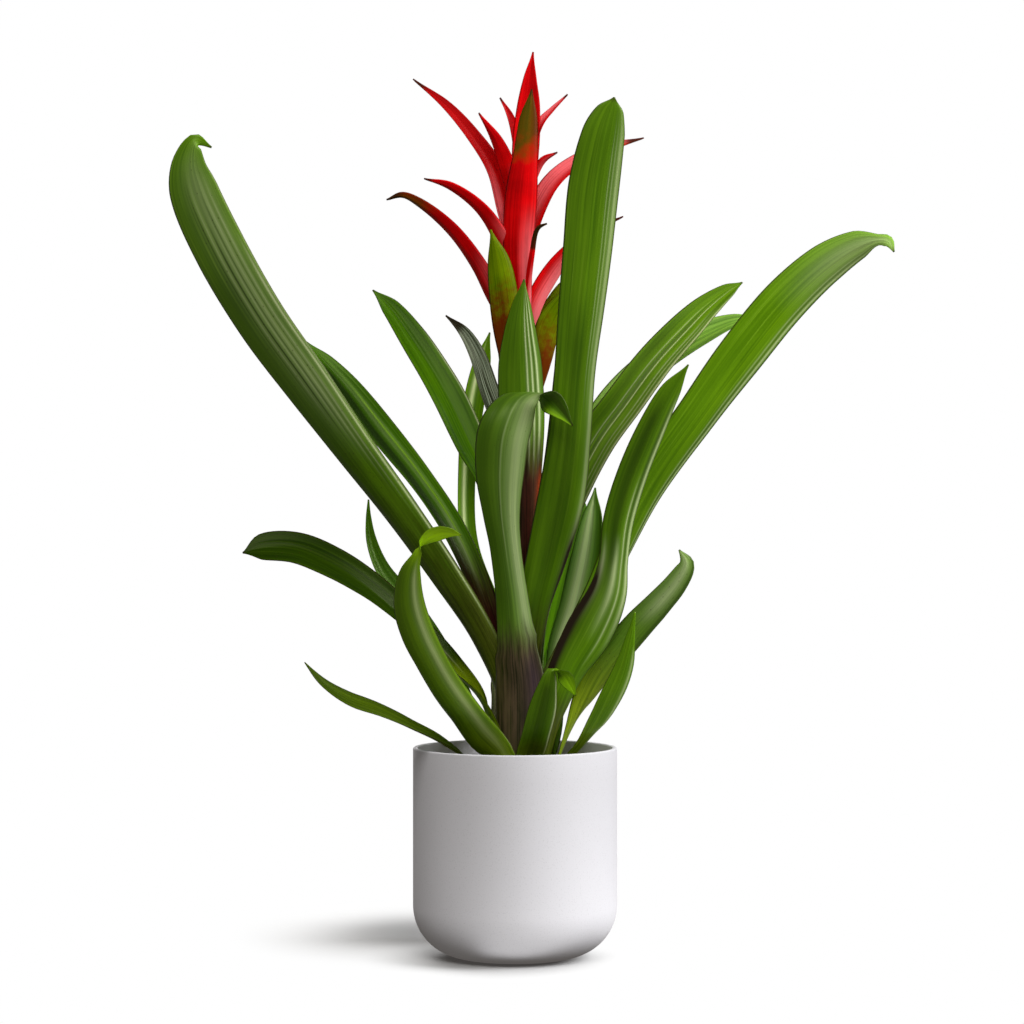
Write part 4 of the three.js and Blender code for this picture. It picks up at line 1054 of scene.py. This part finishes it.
def potSkin():
    material, board = newMaterial("pot_glaze")
    spot = board.objectSpot()
    fleck = board.grain(spot, potShape["fleckScale"], 2.0).ramp(0.58, 0.7)
    cloud = board.grain(spot, potShape["cloudScale"], 3.0)
    pits = board.grain(spot, potShape["pitScale"], 3.0, 0.6)
    strength = fleck * potShape["fleckStrength"] + (cloud - 0.5) * potShape["cloudStrength"]
    skin = board.blend(strength, potShape["glaze"], potShape["fleck"])
    board.finish({"Base Color": skin, "Roughness": unevenRough(potShape["rough"], pits),
                  "Specular IOR Level": potShape["gloss"], "Normal": board.bump(pits, *potShape["bump"])})
    return material


def buildPot():
    shape = potShape
    radius, corner, rim, height = shape["radius"], shape["corner"], shape["rim"], shape["height"]
    inner, innerCorner = radius - shape["wall"], corner - shape["wall"]
    profile = [(0, 0), (shape["foot"], 0)]
    profile += arcPoints(radius - corner, corner, corner, *shape["cornerArc"])
    profile += [(radius, z) for z in shape["wallHeights"]]
    profile += arcPoints(radius - rim, height - rim, rim, 0, 90, shape["rimSteps"])
    profile += arcPoints(inner + rim, height - rim, rim, 90, 180, shape["rimSteps"])
    profile += [(inner, z) for z in reversed(shape["wallHeights"])]
    profile += arcPoints(inner - innerCorner, shape["floor"] + innerCorner, innerCorner, *shape["insideArc"])
    profile += [(shape["insideFoot"], shape["floor"]), (0, shape["floor"])]
    handOver(lathe("pot_body", profile, shape["sides"], 0, potSkin()), "white_pot", "pot")


buildPot()
print("pot turned")


# the compost, with crumbs of bark strewn over it
soilShape = {
    "wall": 64.0, "corner": 30.5, "floor": 5.3, "rim": 118, "rings": 24, "sides": 96,
    "cornerArc": (-80, 0, 10),
    "dish": 112, "dishRadius": 27, "dishSlope": 14, "edgeDrop": 1, "hole": 8.1, "holeFoot": 89.7,
    # above these heights a point is in the surface, or round the hole
    "surfaceFrom": 105, "holeFrom": 80,
    "lumps": (90, 260), "lumpHeight": 1.1, "calmAtWall": 6, "calmAtHole": 1,
    "peat": (ink(26, 18, 14), ink(52, 38, 28)), "peatGrain": 320.0,
    "bark": (ink(58, 36, 24), ink(112, 78, 52)), "barkGrain": 240.0,
    "rough": (0.9, 0.15),
    "bump": (0.9, 1.2 * mm),
}
crumbShape = {
    "Spacing": 5.8 * mm, "Density": 60000.0, "Least upward": 0.6,
    "Clear radius": 30 * mm, "Outer radius": 58.5 * mm,
    "Least": (1.6 * mm, 1.2 * mm, 0.9 * mm), "Most": (4.4 * mm, 3.0 * mm, 1.8 * mm),
    "Unevenness": 1.5, "Outline scale": 1.3, "Seed": 4,
}


def soilSkin(name, colors, scale):
    material, board = newMaterial(name)
    coarse = board.grain(board.objectSpot(), scale, 5.0, 0.65)
    board.finish({"Base Color": board.blend(coarse.ramp(0.3, 0.7), *colors),
                  "Roughness": unevenRough(soilShape["rough"], coarse),
                  "Normal": board.bump(coarse, *soilShape["bump"])})
    return material


def crumbTree():
    tree, board, ask = newTree("strewCrumbs", {
        "Ground": "Geometry", "Spacing": "Float", "Density": "Float", "Least upward": "Float",
        "Clear radius": "Float", "Outer radius": "Float", "Least": "Vector", "Most": "Vector",
        "Unevenness": "Float", "Outline scale": "Float", "Seed": "Int", "Material": "Material"}, "Strewn")

    # only the upper surface, outside the nest of leaves and inside the pot's wall
    spot = board.add("GeometryNodeInputPosition")
    away = board.space("LENGTH", board.space("MULTIPLY", spot, (1.0, 1.0, 0.0)), output="Value")
    upward = board.add("GeometryNodeInputNormal").split()[2]
    free = (upward > ask["Least upward"]) * (away > ask["Clear radius"]) * (ask["Outer radius"] > away)
    points = board.add("GeometryNodeDistributePointsOnFaces", {"distribute_method": "POISSON"},
                       {"Mesh": ask["Ground"], "Selection": free, "Distance Min": ask["Spacing"],
                        "Density Max": ask["Density"], "Seed": ask["Seed"]})

    # one lump of 80 faces with an uneven outline, stretched and turned at random
    lump = board.add("GeometryNodeMeshIcoSphere", {}, [1.0, 2])
    uneven = (board.grain(spot, ask["Outline scale"], 2.0) - 0.5) * ask["Unevenness"]
    lump = board.add("GeometryNodeSetPosition", {},
                     {"Geometry": lump, "Offset": board.stretch(spot, uneven)})
    size = board.add("FunctionNodeRandomValue", {"data_type": "FLOAT_VECTOR"},
                     {0: ask["Least"], 1: ask["Most"], 8: ask["Seed"]})
    turn = board.add("FunctionNodeRandomValue", {"data_type": "FLOAT_VECTOR"},
                     {0: (-0.5, -0.5, 0.0), 1: (0.5, 0.5, 6.28), 8: ask["Seed"]})
    turn = board.add("FunctionNodeEulerToRotation", {}, [turn])
    lumps = board.add("GeometryNodeInstanceOnPoints", {},
                      {"Points": points, "Instance": lump, "Rotation": turn, "Scale": size})
    closeTree(board, lumps, ask["Material"])
    return tree


def buildSoil():
    shape = soilShape
    wall, corner, rim, dish, hole = (shape[key] for key in ("wall", "corner", "rim", "dish", "hole"))
    profile = [(0, shape["floor"]), (potShape["insideFoot"], shape["floor"])]
    profile += arcPoints(wall - corner, shape["floor"] + corner, corner, *shape["cornerArc"])
    profile += [(wall, rim)]
    for k in range(1, shape["rings"] + 1):
        radius = wall + (hole - wall) * k / shape["rings"]
        slope = min(max((radius - shape["dishRadius"]) / shape["dishSlope"], 0), 1)
        profile.append((radius, dish + (rim - shape["edgeDrop"] - dish) * slope * slope * (3 - 2 * slope)))
    profile += [(hole, shape["holeFoot"]), (0, shape["holeFoot"])]
    peat = soilSkin("peat_skin", shape["peat"], shape["peatGrain"])
    soil = lathe("compost", profile, shape["sides"], 0, peat)

    # an uneven surface, calm at the wall and at the hole; the dish and the hole lie round the plant's axis
    for point in soil.data.vertices:
        radius = math.hypot(point.co.x, point.co.y) / mm
        if point.co.z > shape["surfaceFrom"] * mm and radius > hole + shape["calmAtHole"]:
            large, small = (noise.noise(point.co * scale) for scale in shape["lumps"])
            lift = large + 0.5 * small
            share = (wall - radius) / (wall - shape["dishRadius"]) * shape["calmAtWall"]
            point.co.z += lift * shape["lumpHeight"] * mm * min(1, max(0, share))
        if point.co.z > shape["holeFrom"] * mm:
            point.co.x += clasp["plantX"] * mm * max(0, min(1, (wall - radius) / (wall - hole)))
    crumbs = makeObject("bark_crumbs", soil.data.copy())
    bark = soilSkin("bark_skin", shape["bark"], shape["barkGrain"])
    runNodes(crumbs, crumbTree(), {**crumbShape, "Material": bark})
    handOver(joinPieces("compost", [soil, crumbs]), "soil", "soil")


buildSoil()
print("compost strewn")


# the studio: a camera at the photo's height and distance, a pale floor and soft lamps
studio = {
    "cameraSpot": (-0.002, -1.905, 0.2936), "lens": 101.17, "sensor": 36, "farthest": 20,
    "floorSize": 3.0,
    "shadowReach": (0.03, 0.165),     # m from the pot's shadow, where the floor turns from lit to plain white
    "shadowSquash": (1.3, 1.0, 1.0),
    "shadowMiddle": (-0.095, 0.105, 0.0),
    "coreReach": (0.0, 0.15),         # the same for a painted shadow that darkens the floor's colour round the shadow's darkest part
    "coreMiddle": (-0.085, 0.115, 0.0),
    "footReach": (0.035, 0.095),      # and for the shade right under the pot, deepened by painted shade
    "footMiddle": (-0.01, -0.02, 0.0),
    # the floor's colour where the painted shadow is darkest, and away from it
    "paintedShadowGrays": ((0.36, 0.36, 0.36, 1.0), (0.92, 0.92, 0.92, 1.0)),
    "floorRough": 0.9,
    "white": (1.0, 1.0, 1.0, 1.0),
    "fill": (0.150, 0.140, 0.128, 1.0),
    "aim": (0.0, 0.0, 0.26),
    "mirrored": ("key", "front"),     # the lamps that may show in the gloss
    "lamps": {
        "key": {"at": (1.75, -0.50, 1.45), "size": (1.2, 1.4), "power": 56, "color": (0.98, 0.985, 1.0)},
        "front": {"at": (-0.20, -1.50, 1.8), "size": (1.3, 1.0), "power": 25, "color": (1.0, 0.99, 0.97)},
        "rim": {"at": (1.2, 1.4, 0.8), "size": (0.7, 1.2), "power": 8},
        "back": {"at": (-0.9, 1.9, 1.3), "size": (1.2, 1.2), "power": 22},
        # what a bright table throws up at the pot's bottom corner
        "bounce": {"at": (0.064, -0.148, 0.003), "size": (0.18, 0.18), "power": 0.084, "up": True},
        "bounceRight": {"at": (0.125, -0.030, 0.003), "size": (0.10, 0.12), "power": 0.050, "up": True},
        "bounceLeft": {"at": (-0.075, -0.130, 0.003), "size": (0.10, 0.10), "power": 0.020, "up": True},
    },
}


def setCamera(scene):
    camera = bpy.data.objects.new("camera", bpy.data.cameras.new("camera"))
    camera.location = studio["cameraSpot"]
    camera.rotation_euler = (math.radians(90), 0, 0)
    camera.data.lens = studio["lens"]
    camera.data.sensor_width = studio["sensor"]
    camera.data.clip_end = studio["farthest"]
    scene.collection.objects.link(camera)
    scene.camera = camera
    scene.view_settings.view_transform = "Standard"


def setLamp(scene, name, lamp):
    light = bpy.data.lights.new(name + "_lamp", "AREA")
    light.shape = "RECTANGLE"
    light.size, light.size_y = lamp["size"]
    light.energy = lamp["power"]
    light.color = lamp.get("color", (1.0, 1.0, 1.0))
    thing = bpy.data.objects.new(name + "_lamp", light)
    thing.location = lamp["at"]
    target = Vector((*lamp["at"][:2], 1.0)) if lamp.get("up") else Vector(studio["aim"])
    thing.rotation_euler = (target - thing.location).to_track_quat("-Z", "Y").to_euler()
    thing.visible_camera = thing.visible_glossy = name in studio["mirrored"]
    scene.collection.objects.link(thing)


def setWorld(scene):
    # white round about, and dimmer as a light than it looks
    scene.world = bpy.data.worlds.new("studio")
    scene.world.use_nodes = True
    board = Board(scene.world.node_tree)
    seen = board.add("ShaderNodeLightPath", output="Is Camera Ray")
    tint = board.blend(seen, studio["fill"], studio["white"])
    board.tree.links.new(tint.socket, board.tree.nodes["Background"].inputs["Color"])


def setFloor():
    # lit where the pot's shadow falls, with a painted shadow darkening its colour there, and plain white
    # further out
    size = studio["floorSize"]
    corners = [(-size, -size, 0), (size, -size, 0), (size, size, 0), (-size, size, 0)]
    mesh = bpy.data.meshes.new("floor")
    mesh.from_pydata(corners, [], [(0, 1, 2, 3)])
    floor = makeObject("floor", mesh)
    material, board = newMaterial("floor_paint")
    spot = board.objectSpot()
    squashed = board.space("MULTIPLY", spot, studio["shadowSquash"])
    away, core, under = (
        board.space("DISTANCE", place, studio[key + "Middle"], output="Value").ramp(*studio[key + "Reach"])
        for key, place in (("shadow", squashed), ("core", squashed), ("foot", spot)))
    # painted shadow: the floor's colour darker round the shadow's core and right under the pot
    paintedShadowGray = board.blend(core * (0.3 + under * 0.7), *studio["paintedShadowGrays"])
    board.finish({"Base Color": paintedShadowGray, "Roughness": studio["floorRough"], "Specular IOR Level": 0.0})
    plain = board.add("ShaderNodeEmission", {}, [studio["white"], 1.0])
    lit = Wire(board, board.tree.nodes["Principled BSDF"].outputs[0])
    mixed = board.add("ShaderNodeMixShader", {}, [away * under, lit, plain])
    board.tree.links.new(mixed.socket, board.tree.nodes["Material Output"].inputs["Surface"])
    mesh.materials.append(material)
    floor.visible_diffuse = False
    floor.visible_glossy = False


setCamera(bpy.context.scene)
for name, lamp in studio["lamps"].items():
    setLamp(bpy.context.scene, name, lamp)
setWorld(bpy.context.scene)
setFloor()
print("studio set")
